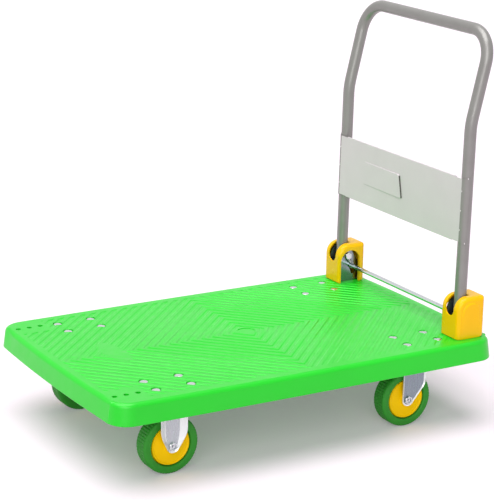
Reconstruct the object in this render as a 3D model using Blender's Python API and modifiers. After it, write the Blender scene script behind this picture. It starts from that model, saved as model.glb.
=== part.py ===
"""Folding platform trolley: a moulded deck on four casters, with a tube handle that folds down onto it.

Metres, +Z up. The origin is on the floor under the middle of the deck. +X points to the handle end, which
is the rear, and -Y is the left side of someone pushing. Pieces that move hang on an empty on their axis.
"""

import math

import bmesh
import bpy
from mathutils import Matrix, Vector

# Clearances
GAP = 0.0003  # between faces that rest on each other
RUN = 0.0004  # radial play of a shaft in its bore
BOLT_PLAY = 0.0004  # radial play of a bolt in a drilled hole

# Wheels
WHEEL_DIAMETER = 0.120
TYRE_WIDTH = 0.037
TYRE_SHOULDER = 0.006
HUB_DIAMETER = 0.0845
HUB_RIM_WIDTH = 0.033
HUB_RIM_LIP = 0.004
HUB_FACE_SINK = 0.0015
HUB_BOSS_WALL = 0.005
AXLE_DIAMETER = 0.010
BUSH_WALL = 0.0022

# Caster forks
FORK_SIDE_ROOM = 0.0024  # from the tyre's side to the leg
LEG_SHEET = 0.0025
LEG_RIM_WIDTH = 0.0035
LEG_END_RADIUS = 0.0145
RIGID_LEG_WIDTH = 0.058
RIGID_RIM_HEIGHT = 0.0085
RIGID_TAPER_RISE = 0.026  # from the axle up to where the leg is at its full width
SWIVEL_LEG_REACH = 0.0414  # from the axle to the leg's far edge
SWIVEL_RIM_HEIGHT = 0.0021
SWIVEL_TAPER_RISE = 0.0295
SWIVEL_TRAIL = 0.0284
CROWN_ROOM = 0.0168  # from the top of the tyre to the fork's crown
CROWN_SHEET = 0.003
CROWN_DIAMETER = 0.068
RACE_HEIGHT = 0.0085
RACE_TOP_DIAMETER = 0.064
RACE_LOW_DIAMETER = 0.054
KINGPIN_DIAMETER = 0.012
KINGPIN_HEAD_DIAMETER = 0.022
KINGPIN_HEAD_HEIGHT = 0.005
PLATE_SHEET = 0.003
PLATE_CORNER_RADIUS = 0.008
PLATE_EDGE = 0.0093  # from a bolt's centre to the plate's edge
PLATE_ROOM = 0.001
CASTER_BOLT_PITCH_X = 0.0764
CASTER_BOLT_PITCH_Y = 0.0523

# Deck
DECK_LENGTH = 0.900
DECK_WIDTH = 0.574
DECK_HEIGHT = 0.044
DECK_END_BOW = 0.0095  # how far an end's middle stands out from its corners
DECK_SIDE_BOW = 0.004
DECK_CORNER_RADIUS = 0.038
DECK_EDGE_RADIUS = 0.009
DECK_DRAFT = 0.0055
SKIRT_WALL = 0.004
DECK_SKIN = 0.0055
RIB = 0.003
RIB_SPACING = 0.085
SEAT_RECESS = 0.010  # from the skirt's lower edge up to the caster plates
CASTER_END_INSET = 0.1585
CASTER_SIDE_INSET = 0.0885
HINGE_HOLE_END_INSET = 0.0312
HINGE_HOLE_PITCH = 0.0248
HINGE_HOLE_COUNT = 3
HINGE_HOLE_DIAMETER = 0.011

# Bolts
BOLT_DIAMETER = 0.008
BOLT_HEAD_DIAMETER = 0.0155
BOLT_HEAD_HEIGHT = 0.0032
BOLT_HEAD_SINK = 0.0012
COUNTERBORE_ROOM = 0.0010
NUT_ACROSS = 0.013
NUT_HEIGHT = 0.0058
AXLE_HEAD_ACROSS = 0.016
AXLE_HEAD_HEIGHT = 0.006
AXLE_NUT_HEIGHT = 0.007
THREAD_END = 0.002  # how far a bolt stands out of its nut

# Hinges
HINGE_END_INSET = 0.0685
HINGE_SIDE_INSET = 0.0608
PIVOT_HEIGHT = 0.062
PIVOT_DIAMETER = 0.010
PIVOT_HEAD_ACROSS = 0.015
PIVOT_HEAD_HEIGHT = 0.0056
PIVOT_NUT_HEIGHT = 0.007
BRACKET_SHEET = 0.003
BRACKET_SIDE_ROOM = 0.0012
CHEEK_RADIUS = 0.019
CHEEK_FRONT_REACH = 0.0212
CHEEK_REAR_REACH = 0.0335
CHEEK_SHOULDER_DROP = 0.020
CHEEK_FRONT_DROP = 0.003
COVER_FRONT_REACH = 0.0258
COVER_REAR_REACH = 0.0438
COVER_HEADROOM = 0.027
COVER_WALL = 0.0025
COVER_ROLL_RADIUS = 0.028
COVER_EDGE_RADIUS = 0.004
COVER_NUT_ROOM = 0.0022
COVER_ARCH_RADIUS = 0.025
COVER_ARCH_SHIFT = 0.005
COVER_ARCH_DROP = 0.012
COVER_RELIEF = 0.0015
COVER_SLOT_ROOM = 0.0015

# Foot release
ROD_DIAMETER = 0.010
ROD_SIDE_ANGLE = math.radians(29.6)  # from straight below the pivot towards the rear
ROD_ROOM = 0.0018
ROD_TRAVEL = 0.016
ROD_END = 0.004
SLOT_LEAN = math.radians(20.0)
SPRING_WIRE = 0.0014
SPRING_COIL_DIAMETER = 0.0064
SPRING_COIL_GAP = 0.00055
SPRING_LEAD = 0.0025
SPRING_CURL_POINTS = 8
SPRING_HOOK_TURN = math.radians(200.0)
SPRING_HOOK_STEPS = 7

# Handle
TUBE_DIAMETER = 0.0254
TUBE_WALL = 0.0015
TUBE_TAIL = 0.019  # below the pivot
LEG_LEAN = math.radians(0.8)
UPPER_LEAN = math.radians(13.3)
LEG_LENGTH = 0.386
UPPER_LENGTH = 0.190
LEG_BEND_RADIUS = 0.160
BAR_BEND_RADIUS = 0.062
PANEL_START = 0.140  # from the pivot up to the panel's lower edge
PANEL_HEIGHT = 0.137
PANEL_SHEET = 0.0012
PANEL_WRAP = math.radians(75.0)
PANEL_LIP = 0.007
PRESSING_WIDTH = 0.147
PRESSING_HEIGHT = 0.051
PRESSING_RISE = 0.0012
PRESSING_SHIFT = 0.0615
PRESSING_LIFT = 0.0018
PRESSING_CORNER_RADIUS = 0.006

# Facets
WHEEL_STEPS = 24
ROUND_SIDES = 20
SHAFT_SIDES = 12
BOLT_SIDES = 10
ARC_STEPS = 6
BOW_STEPS = 6
TUBE_RESOLUTION = 4
BORE_RESOLUTION = 2
SHARP_ANGLE = math.radians(35)

# Heights and places that follow from the sizes above
WHEEL_RADIUS = WHEEL_DIAMETER / 2
AXLE_Z = WHEEL_RADIUS
CROWN_LOW_Z = WHEEL_DIAMETER + CROWN_ROOM
CROWN_TOP_Z = CROWN_LOW_Z + CROWN_SHEET
PLATE_LOW_Z = CROWN_TOP_Z + RACE_HEIGHT
SEAT_Z = PLATE_LOW_Z + PLATE_SHEET + GAP
SKIRT_Z = SEAT_Z - SEAT_RECESS
DECK_TOP_Z = SKIRT_Z + DECK_HEIGHT
CASTER_X = DECK_LENGTH / 2 - CASTER_END_INSET
CASTER_Y = DECK_WIDTH / 2 - CASTER_SIDE_INSET
HINGE_X = DECK_LENGTH / 2 - HINGE_END_INSET
HINGE_Y = DECK_WIDTH / 2 - HINGE_SIDE_INSET
PIVOT_Z = DECK_TOP_Z + PIVOT_HEIGHT
PLATE_LENGTH = CASTER_BOLT_PITCH_X + 2 * PLATE_EDGE
PLATE_WIDTH = CASTER_BOLT_PITCH_Y + 2 * PLATE_EDGE

LEG_INNER = TYRE_WIDTH / 2 + FORK_SIDE_ROOM
LEG_FACE = LEG_INNER + LEG_SHEET
BUSH_RADIUS = AXLE_DIAMETER / 2 + RUN + BUSH_WALL

TUBE_RADIUS = TUBE_DIAMETER / 2
ROD_RADIUS = ROD_DIAMETER / 2
BRACKET_INNER = TUBE_RADIUS + BRACKET_SIDE_ROOM
BRACKET_HALF = BRACKET_INNER + BRACKET_SHEET
SPRING_OUTER = (SPRING_COIL_DIAMETER + SPRING_WIRE) / 2
SPRING_OFFSET = BRACKET_HALF + GAP + SPRING_OUTER
PIVOT_HEAD_OFFSET = SPRING_OFFSET + SPRING_OUTER + GAP
PIVOT_END_OFFSET = BRACKET_HALF + PIVOT_NUT_HEIGHT + THREAD_END
COVER_HALF = PIVOT_END_OFFSET + COVER_NUT_ROOM + COVER_WALL
COVER_HEIGHT = PIVOT_HEIGHT + COVER_HEADROOM
ROD_REACH = math.hypot(TUBE_TAIL, TUBE_RADIUS) + ROD_ROOM + ROD_RADIUS
ROD_OFFSET = ROD_REACH * Vector((math.sin(ROD_SIDE_ANGLE), 0.0, -math.cos(ROD_SIDE_ANGLE)))
SLOT_AXIS = Vector((math.sin(SLOT_LEAN), 0.0, -math.cos(SLOT_LEAN)))

ENDS = {"front": -1, "rear": 1}
SIDES = {"left": -1, "right": 1}
TO_SIDE_VIEW = Matrix.Rotation(math.pi / 2, 4, "X")  # a plan outline's +Y turns up to +Z
TO_END_VIEW = Matrix.Rotation(math.pi / 2, 4, "Z") @ TO_SIDE_VIEW  # its +X also turns to +Y


# Scene and materials

def start_scene():
    """Empties the scene and adds the collections for the parts and the cutters."""
    for old in list(bpy.data.objects):
        bpy.data.objects.remove(old, do_unlink=True)
    made = []
    for name in ("platform_trolley", "cutters"):
        collection = bpy.data.collections.new(name)
        bpy.context.scene.collection.children.link(collection)
        made.append(collection)
    return made


def make_material(name, colour, roughness, metallic=0.0):
    """A Principled material of one colour."""
    material = bpy.data.materials.new(name)
    material.use_nodes = True
    shader = material.node_tree.nodes["Principled BSDF"]
    shader.inputs["Base Color"].default_value = (*colour, 1.0)
    shader.inputs["Roughness"].default_value = roughness
    shader.inputs["Metallic"].default_value = metallic
    return material


PARTS, CUTTERS = start_scene()
GREEN_DECK = make_material("green_polypropylene", (0.10, 0.72, 0.11), 0.35)
YELLOW_COVER = make_material("yellow_abs", (1.0, 0.58, 0.01), 0.32)
GREY_ENAMEL = make_material("grey_enamel", (0.32, 0.32, 0.30), 0.35, 0.4)
SILVER_ENAMEL = make_material("silver_enamel", (0.56, 0.58, 0.56), 0.38, 0.3)
ZINC = make_material("zinc_plate", (0.75, 0.76, 0.78), 0.25, 1.0)
SPRING_STEEL = make_material("spring_steel", (0.62, 0.63, 0.65), 0.3, 1.0)
YELLOW_HUB = make_material("yellow_polypropylene", (0.95, 0.55, 0.02), 0.4)
GREEN_TYRE = make_material("green_rubber", (0.05, 0.33, 0.05), 0.6)
BUSH_STEEL = make_material("bush_steel", (0.5, 0.5, 0.52), 0.35, 1.0)


# Building blocks

def add_empty(name, location):
    """An empty on a joint's axis."""
    empty = bpy.data.objects.new(name, None)
    empty.empty_display_size = 0.03
    empty.location = location
    PARTS.objects.link(empty)
    return empty


def add_object(name, mesh, material=None, parent=None, location=(0.0, 0.0, 0.0)):
    """Links a mesh as a part, or as a cutter if it has no material."""
    made = bpy.data.objects.new(name, mesh)
    made.location = location
    made.parent = parent
    if material is None:
        made.hide_render = True
        made.display_type = "WIRE"
        CUTTERS.objects.link(made)
        return made
    if not mesh.materials:
        mesh.materials.append(material)
    PARTS.objects.link(made)
    return made


def to_mesh(bm, name="solid"):
    """Turns a bmesh into a mesh whose faces point out."""
    bmesh.ops.remove_doubles(bm, verts=bm.verts, dist=1e-6)
    bmesh.ops.recalc_face_normals(bm, faces=bm.faces)
    mesh = bpy.data.meshes.new(name)
    bm.to_mesh(mesh)
    bm.free()
    return mesh


def evaluated_mesh(source):
    """The mesh of a curve, or of an object with its modifiers."""
    bpy.context.view_layer.update()
    graph = bpy.context.evaluated_depsgraph_get()
    return bpy.data.meshes.new_from_object(source.evaluated_get(graph))


def box(size, centre):
    """A box by its size and centre."""
    bm = bmesh.new()
    bmesh.ops.create_cube(bm, size=1.0, matrix=Matrix.Translation(centre) @ Matrix.Diagonal((*size, 1.0)))
    return to_mesh(bm)


def cylinder(radius, start, end, sides=SHAFT_SIDES):
    """A cylinder, or a prism of few sides, between two points."""
    start, end = Vector(start), Vector(end)
    turn = (end - start).to_track_quat("Z", "Y").to_matrix().to_4x4()
    bm = bmesh.new()
    bmesh.ops.create_cone(bm, cap_ends=True, segments=sides, radius1=radius, radius2=radius,
                          depth=(end - start).length,
                          matrix=Matrix.Translation((start + end) / 2) @ turn)
    return to_mesh(bm)


def hexagon(across, start, end):
    """A hexagonal prism by its width across flats."""
    return cylinder(across / math.sqrt(3), start, end, sides=6)


def curve_object(points, cyclic):
    """A curve object of one poly spline."""
    curve = bpy.data.curves.new("line", "CURVE")
    spline = curve.splines.new("POLY")
    spline.points.add(len(points) - 1)
    for spot, point in zip(spline.points, points):
        spot.co = (*point, 1.0)
    spline.use_cyclic_u = cyclic
    made = bpy.data.objects.new("line", curve)
    CUTTERS.objects.link(made)
    return made


def take_mesh(source, matrix=Matrix.Identity(4)):
    """Replaces a curve object by its welded mesh, moved by a matrix."""
    bm = bmesh.new()
    mesh = evaluated_mesh(source)
    bm.from_mesh(mesh)
    bpy.data.meshes.remove(mesh)
    bpy.data.objects.remove(source, do_unlink=True)
    bmesh.ops.transform(bm, matrix=matrix, verts=bm.verts)
    return to_mesh(bm)


def sheet(outline, thickness, matrix=Matrix.Identity(4)):
    """A flat outline of plan points, thickened evenly about its plane and moved by a matrix."""
    flat = curve_object([(x, y, 0.0) for x, y in outline], cyclic=True)
    flat.data.dimensions = "2D"
    flat.data.fill_mode = "BOTH"
    flat.data.extrude = thickness / 2
    return take_mesh(flat, matrix)


def pipe(points, radius, resolution):
    """A round tube along points, with closed ends."""
    line = curve_object(points, cyclic=False)
    line.data.dimensions = "3D"
    line.data.bevel_depth = radius
    line.data.bevel_resolution = resolution
    line.data.use_fill_caps = True
    return take_mesh(line)


def combine(target, mesh, operation, name="tool"):
    """Adds a Boolean with a mesh given in the target's own space."""
    tool = add_object(f"{target.name}_{name}", mesh, parent=target)
    modifier = target.modifiers.new(name, "BOOLEAN")
    modifier.operation = operation
    modifier.object = tool
    modifier.solver = "EXACT"
    return tool


def cut(target, mesh, name="cut"):
    """Cuts a mesh out of an object."""
    return combine(target, mesh, "DIFFERENCE", name)


def join(target, mesh, name="join"):
    """Joins a mesh to an object."""
    return combine(target, mesh, "UNION", name)


def bake(target):
    """Takes an object's finished mesh and removes the object with its tools."""
    mesh = evaluated_mesh(target)
    for tool in list(target.children):
        bpy.data.objects.remove(tool, do_unlink=True)
    bpy.data.objects.remove(target, do_unlink=True)
    return mesh


def add_turned(name, profile, material, parent, steps, closed=False):
    """A piece turned about the parent's Y axis from (radius, offset) points, down its outer side."""
    bm = bmesh.new()
    spots = [bm.verts.new((radius, 0.0, offset)) for radius, offset in profile]
    for first, second in zip(spots, spots[1:]):
        bm.edges.new((first, second))
    if closed:
        bm.edges.new((spots[-1], spots[0]))
    mesh = bpy.data.meshes.new(name)
    bm.to_mesh(mesh)
    bm.free()
    made = add_object(name, mesh, material, parent)
    made.rotation_euler = (-math.pi / 2, math.pi / steps, 0.0)
    screw = made.modifiers.new("turn", "SCREW")
    screw.steps = steps
    screw.render_steps = steps
    screw.use_merge_vertices = True
    screw.merge_threshold = 1e-5
    return made


def arc(centre, radius, start, end, steps=ARC_STEPS):
    """Plan points along an arc between two angles."""
    turn = [start + (end - start) * i / steps for i in range(steps + 1)]
    return [(centre[0] + radius * math.cos(a), centre[1] + radius * math.sin(a)) for a in turn]


def rounded_rectangle(length, width, radius, steps=4):
    """Plan points of a rectangle with round corners about the origin."""
    points = []
    for i, (x, y) in enumerate(((1, 1), (-1, 1), (-1, -1), (1, -1))):
        centre = (x * (length / 2 - radius), y * (width / 2 - radius))
        points += arc(centre, radius, i * math.pi / 2, (i + 1) * math.pi / 2, steps)
    return points


def tangent_angle(point, radius, side):
    """The angle on a circle about the origin where a line from a point touches it."""
    distance = math.hypot(*point)
    return math.atan2(point[1], point[0]) + side * math.acos(radius / distance)


# Deck

def split_walls(bm, axis, size):
    """Splits the block's two upright walls along an axis into even steps, so that they can be bowed."""
    along = Vector((1 - axis, axis, 0))
    for i in range(1, BOW_STEPS):
        level = size[axis] * (i / BOW_STEPS - 0.5)
        walls = [f for f in bm.faces if abs(f.normal.z) < 0.5 and abs(f.normal.dot(along)) < 0.5]
        parts = {part for wall in walls for part in (wall, *wall.edges, *wall.verts)}
        bmesh.ops.bisect_plane(bm, geom=list(parts), dist=1e-6, plane_co=along * level, plane_no=along)


def drafted_block(inset, top_z, edge_steps):
    """The deck's outer form drawn in by an inset, from the skirt's edge, or below it, up to a height."""
    low = SKIRT_Z - inset
    size = Vector((DECK_LENGTH - 2 * inset, DECK_WIDTH - 2 * inset, top_z - low))
    centre = Vector((0.0, 0.0, (low + top_z) / 2))
    bm = bmesh.new()
    bmesh.ops.create_cube(bm, size=1.0, matrix=Matrix.Translation(centre) @ Matrix.Diagonal((*size, 1.0)))
    corners = list(bm.verts)
    for axis in (0, 1):
        split_walls(bm, axis, size)
    for spot in bm.verts:
        along, across = 2 * spot.co.x / size.x, 2 * spot.co.y / size.y
        draft = DECK_DRAFT if spot.co.z > centre.z else 0.0
        if abs(along) > 1 - 1e-6:
            spot.co.x -= math.copysign(DECK_END_BOW * across ** 2 + draft, along)
        if abs(across) > 1 - 1e-6:
            spot.co.y -= math.copysign(DECK_SIDE_BOW * along ** 2 + draft, across)
    upright = [e for e in bm.edges if e.verts[0] in corners and e.verts[1] in corners
               and abs(e.verts[0].co.z - e.verts[1].co.z) > size.z / 2]
    bmesh.ops.bevel(bm, geom=upright, offset=DECK_CORNER_RADIUS - inset, segments=ARC_STEPS,
                    profile=0.5, affect="EDGES")
    rim = [e for e in bm.edges if min(v.co.z for v in e.verts) > top_z - 1e-6]
    bmesh.ops.bevel(bm, geom=rim, offset=max(DECK_EDGE_RADIUS - inset, GAP), segments=edge_steps,
                    profile=0.5, affect="EDGES")
    return to_mesh(bm)


def rib_lines(half_length, caster_place, pad_half):
    """Places of the ribs along one axis: round each caster pad, and spread evenly between the pads."""
    pad_low, pad_high = caster_place - pad_half, caster_place + pad_half
    count = max(1, round(2 * pad_low / RIB_SPACING))
    middle = [-pad_low + 2 * pad_low * i / count for i in range(count + 1)]
    outside = half_length + DECK_DRAFT
    return [-outside, -pad_high, *middle, pad_high, outside]


def rib_pockets():
    """Boxes between the ribs, in every cell that isn't a caster pad."""
    pad_x = PLATE_LENGTH / 2 + PLATE_ROOM + RIB
    pad_y = PLATE_WIDTH / 2 + PLATE_ROOM + RIB
    low, high = SKIRT_Z - DECK_HEIGHT, DECK_TOP_Z
    along = rib_lines(DECK_LENGTH / 2, CASTER_X, pad_x)
    across = rib_lines(DECK_WIDTH / 2, CASTER_Y, pad_y)
    bm = bmesh.new()
    for x0, x1 in zip(along, along[1:]):
        for y0, y1 in zip(across, across[1:]):
            middle = Vector(((x0 + x1) / 2, (y0 + y1) / 2, (low + high) / 2))
            if abs(abs(middle.x) - CASTER_X) < pad_x / 2 and abs(abs(middle.y) - CASTER_Y) < pad_y / 2:
                continue
            size = (x1 - x0 - RIB, y1 - y0 - RIB, high - low, 1.0)
            bmesh.ops.create_cube(bm, size=1.0, matrix=Matrix.Translation(middle) @ Matrix.Diagonal(size))
    return to_mesh(bm)


def caster_places():
    """Each caster's end, side and place on the deck."""
    return [(end, side, Vector((ENDS[end] * CASTER_X, SIDES[side] * CASTER_Y, 0.0)))
            for end in ENDS for side in SIDES]


def plate_bolt_places():
    """The bolt places on a caster plate, from its centre."""
    return [Vector((i * CASTER_BOLT_PITCH_X / 2, j * CASTER_BOLT_PITCH_Y / 2, 0.0))
            for i in (-1, 1) for j in (-1, 1)]


def hinge_hole_places(end, side):
    """The line of bolt holes for a hinge bracket, from the deck's end inwards."""
    first = DECK_LENGTH / 2 - HINGE_HOLE_END_INSET
    return [Vector((ENDS[end] * (first - i * HINGE_HOLE_PITCH), SIDES[side] * HINGE_Y, 0.0))
            for i in range(HINGE_HOLE_COUNT)]


def upright_hole(place, radius, low, high, sides=BOLT_SIDES):
    """A round cutter that stands at a place."""
    return cylinder(radius, place + Vector((0, 0, low)), place + Vector((0, 0, high)), sides)


def several(meshes):
    """One mesh of several that stay apart."""
    bm = bmesh.new()
    for mesh in meshes:
        bm.from_mesh(mesh)
        bpy.data.meshes.remove(mesh)
    return to_mesh(bm)


def add_deck():
    """The moulded deck: drafted skirt, ribs below, caster pads and the bolt holes."""
    deck = add_object("deck", drafted_block(0.0, DECK_TOP_Z, ARC_STEPS // 2), GREEN_DECK)
    pockets = cut(deck, rib_pockets(), "pockets")
    inner = drafted_block(SKIRT_WALL, DECK_TOP_Z - DECK_SKIN, 1)
    limit = add_object("deck_inside", inner, parent=deck)
    inside = pockets.modifiers.new("inside", "BOOLEAN")
    inside.operation = "INTERSECT"
    inside.object = limit
    recess = (PLATE_LENGTH + 2 * PLATE_ROOM, PLATE_WIDTH + 2 * PLATE_ROOM, 2 * SEAT_RECESS)
    seats = [box(recess, place + Vector((0, 0, SKIRT_Z))) for _, _, place in caster_places()]
    cut(deck, several(seats), "seats")
    head_room = KINGPIN_HEAD_DIAMETER / 2 + PLATE_ROOM
    relief_top = SEAT_Z + KINGPIN_HEAD_HEIGHT + PLATE_ROOM
    reliefs = [upright_hole(place, head_room, SEAT_Z - PLATE_SHEET, relief_top)
               for _, _, place in caster_places()]
    cut(deck, several(reliefs), "kingpin_reliefs")
    bolts = [place + spot for _, _, place in caster_places() for spot in plate_bolt_places()]
    beyond = DECK_TOP_Z + DECK_HEIGHT
    bore = BOLT_DIAMETER / 2 + BOLT_PLAY
    sink_z = DECK_TOP_Z - BOLT_HEAD_SINK - BOLT_HEAD_HEIGHT - GAP
    counter = BOLT_HEAD_DIAMETER / 2 + COUNTERBORE_ROOM
    hinge = [spot for end in ENDS for side in SIDES for spot in hinge_hole_places(end, side)]
    holes = [upright_hole(p, bore, SKIRT_Z, beyond) for p in bolts]
    holes += [upright_hole(p, HINGE_HOLE_DIAMETER / 2, SKIRT_Z, beyond) for p in hinge]
    cut(deck, several(holes), "bolt_holes")
    cut(deck, several([upright_hole(p, counter, sink_z, beyond) for p in bolts]), "counterbores")


# Casters

def axle_height(z):
    """A height above the axle's empty for a height above the floor."""
    return z - AXLE_Z


def leg_outline(rear_reach, front_reach, taper_rise, top_z, inset):
    """A fork leg from the side about its axle: a round end that widens to the full width above it."""
    radius = LEG_END_RADIUS - inset
    rear, front = rear_reach - inset, front_reach - inset
    shoulder = (rear, taper_rise)
    start = tangent_angle(shoulder, radius, -1)
    if front_reach > LEG_END_RADIUS:
        other = (-front, taper_rise)
        end = tangent_angle(other, radius, 1) - 2 * math.pi
        return [(rear, top_z), shoulder, *arc((0, 0), radius, start, end), other, (-front, top_z)]
    return [(rear, top_z), shoulder, *arc((0, 0), radius, start, -math.pi), (-front, top_z)]


def join_leg(fork, outward, rear_reach, front_reach, taper_rise, rim_height, top_z):
    """Joins one dished leg, whose raised rim faces outward along Y."""
    def leg(inset, low, high, top):
        outline = leg_outline(rear_reach, front_reach, taper_rise, top, inset)
        shift = Matrix.Translation((0.0, outward * (low + high) / 2, 0.0))
        return sheet(outline, high - low, shift @ TO_SIDE_VIEW)

    tag = "outer" if outward > 0 else "inner"
    rim = LEG_FACE + rim_height
    join(fork, leg(0.0, LEG_INNER, rim, top_z), f"leg_{tag}")
    dish_top = top_z - LEG_RIM_WIDTH
    cut(fork, leg(LEG_RIM_WIDTH, LEG_FACE, rim + LEG_SHEET, dish_top), f"dish_{tag}")


def cut_axle_hole(fork):
    """Drills both legs for the axle bolt."""
    reach = 2 * LEG_FACE
    cut(fork, cylinder(AXLE_DIAMETER / 2 + BOLT_PLAY, (0, -reach, 0), (0, reach, 0)), "axle_hole")


def cut_plate_holes(target, centre):
    """Drills a caster plate's four bolt holes."""
    holes = [upright_hole(centre + spot, BOLT_DIAMETER / 2 + BOLT_PLAY, -PLATE_SHEET, 2 * PLATE_SHEET)
             for spot in plate_bolt_places()]
    cut(target, several(holes), "bolt_holes")


def plate_mesh(low_z):
    """A caster's top plate with round corners."""
    middle = Matrix.Translation((0.0, 0.0, low_z + PLATE_SHEET / 2))
    return sheet(rounded_rectangle(PLATE_LENGTH, PLATE_WIDTH, PLATE_CORNER_RADIUS), PLATE_SHEET, middle)


def add_rigid_fork(side, axle):
    """The fixed caster's fork, pressed and welded to its plate."""
    low = axle_height(PLATE_LOW_Z)
    fork = add_object(f"rigid_fork_{side}", plate_mesh(low), ZINC, axle)
    half = RIGID_LEG_WIDTH / 2
    for outward in (-1, 1):
        join_leg(fork, outward, half, half, RIGID_TAPER_RISE, RIGID_RIM_HEIGHT, low + PLATE_SHEET / 2)
    cut_axle_hole(fork)
    cut_plate_holes(fork, Vector((0, 0, low)))


def add_swivel_head(side, place):
    """The swivel caster's plate with its race below, and the kingpin through both."""
    anchor = add_empty(f"swivel_head_{side}", place + Vector((0, 0, PLATE_LOW_Z)))
    plate = add_object(f"swivel_plate_{side}", plate_mesh(0.0), ZINC, anchor)
    bm = bmesh.new()
    drop = RACE_HEIGHT - GAP
    bmesh.ops.create_cone(bm, cap_ends=True, segments=ROUND_SIDES, radius1=RACE_LOW_DIAMETER / 2,
                          radius2=RACE_TOP_DIAMETER / 2, depth=drop + PLATE_SHEET / 2,
                          matrix=Matrix.Translation((0, 0, PLATE_SHEET / 4 - drop / 2)))
    join(plate, to_mesh(bm), "race")
    bore = KINGPIN_DIAMETER / 2 + RUN
    cut(plate, cylinder(bore, (0, 0, -2 * RACE_HEIGHT), (0, 0, 2 * PLATE_SHEET)), "kingpin_bore")
    cut_plate_holes(plate, Vector((0, 0, 0)))
    crown = -RACE_HEIGHT - CROWN_SHEET
    shank, head = KINGPIN_DIAMETER / 2, KINGPIN_HEAD_DIAMETER / 2
    upper, lower = PLATE_SHEET + GAP, crown - GAP
    chamfer = KINGPIN_HEAD_HEIGHT / 3
    profile = [(0.0, upper + KINGPIN_HEAD_HEIGHT), (head - chamfer, upper + KINGPIN_HEAD_HEIGHT),
               (head, upper + KINGPIN_HEAD_HEIGHT - chamfer), (head, upper), (shank, upper), (shank, lower),
               (head, lower), (head, lower - KINGPIN_HEAD_HEIGHT + chamfer),
               (head - chamfer, lower - KINGPIN_HEAD_HEIGHT), (0.0, lower - KINGPIN_HEAD_HEIGHT)]
    pin = add_turned(f"kingpin_{side}", profile, ZINC, anchor, SHAFT_SIDES)
    pin.rotation_euler = (0.0, 0.0, 0.0)


def add_swivel_fork(side, swivel, axle):
    """The swivel caster's fork, whose origin is on the kingpin's axis."""
    crown_low, crown_top = (z - swivel.location.z for z in (CROWN_LOW_Z, CROWN_TOP_Z))
    fork = add_object(f"swivel_fork_{side}",
                      cylinder(CROWN_DIAMETER / 2, (0, 0, crown_low), (0, 0, crown_top), ROUND_SIDES),
                      ZINC, swivel)
    rear, front = SWIVEL_LEG_REACH, LEG_END_RADIUS
    bridge = (rear + front, 2 * (LEG_FACE + SWIVEL_RIM_HEIGHT), CROWN_SHEET)
    middle = ((rear - front) / 2 - SWIVEL_TRAIL, 0.0, (crown_low + crown_top) / 2)
    join(fork, box(bridge, middle), "bridge")
    for outward in (-1, 1):
        join_leg(fork, outward, rear, front, SWIVEL_TAPER_RISE, SWIVEL_RIM_HEIGHT,
                 axle_height(CROWN_TOP_Z) - CROWN_SHEET / 3)
    cut_axle_hole(fork)
    to_axle = Vector((-SWIVEL_TRAIL, 0.0, -axle_height(swivel.location.z)))
    for tool in fork.children:
        if "leg" in tool.name or "dish" in tool.name or "axle" in tool.name:
            tool.location = to_axle
    bore = KINGPIN_DIAMETER / 2 + RUN
    cut(fork, cylinder(bore, (0, 0, 2 * crown_low), (0, 0, -2 * crown_low)), "kingpin_bore")


def add_wheel(corner, axle):
    """Hub and tyre, turned about the axle."""
    rim, lip, face = HUB_DIAMETER / 2, HUB_RIM_WIDTH / 2, HUB_RIM_WIDTH / 2 - HUB_FACE_SINK
    bore = BUSH_RADIUS + RUN
    boss, boss_end = bore + HUB_BOSS_WALL, LEG_INNER - 2 * GAP
    half = [(bore, boss_end), (boss, boss_end), (boss + HUB_FACE_SINK, face),
            (rim - HUB_RIM_LIP, face), (rim - HUB_RIM_LIP + HUB_FACE_SINK, lip), (rim, lip)]
    hub = half + [(radius, -offset) for radius, offset in reversed(half)]
    add_turned(f"wheel_hub_{corner}", hub, YELLOW_HUB, axle, WHEEL_STEPS, closed=True)
    inner, side = rim + GAP, TYRE_WIDTH / 2
    tread = WHEEL_RADIUS / math.cos(math.pi / WHEEL_STEPS)  # a facet stands on the floor
    shoulder = arc((tread - TYRE_SHOULDER, side - TYRE_SHOULDER), TYRE_SHOULDER, math.pi / 2, 0.0, 2)
    half = [(inner, side), *shoulder]
    tyre = half + [(radius, -offset) for radius, offset in reversed(half)]
    add_turned(f"tyre_{corner}", tyre, GREEN_TYRE, axle, WHEEL_STEPS, closed=True)


def add_axle(corner, axle, outward):
    """Bush between the legs, hexagon bolt from outside and its nut."""
    end = LEG_INNER - GAP
    outer, inner = BUSH_RADIUS, AXLE_DIAMETER / 2 + RUN
    ring = [(inner, end), (outer, end), (outer, -end), (inner, -end)]
    add_turned(f"axle_bush_{corner}", ring, BUSH_STEEL, axle, SHAFT_SIDES, closed=True)
    seat = LEG_FACE + GAP
    nut_end = seat + AXLE_NUT_HEIGHT
    sign = Vector((0, outward, 0))
    shank = cylinder(AXLE_DIAMETER / 2, sign * (seat + AXLE_HEAD_HEIGHT / 2), -sign * (nut_end + THREAD_END))
    bolt = add_object(f"axle_bolt_{corner}", shank, ZINC, axle)
    join(bolt, hexagon(AXLE_HEAD_ACROSS, sign * seat, sign * (seat + AXLE_HEAD_HEIGHT)), "head")
    block = hexagon(AXLE_HEAD_ACROSS, -sign * seat, -sign * nut_end)
    nut = add_object(f"axle_nut_{corner}", block, ZINC, axle)
    cut(nut, cylinder(AXLE_DIAMETER / 2 + RUN, sign * seat, -sign * 2 * nut_end), "bore")


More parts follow.
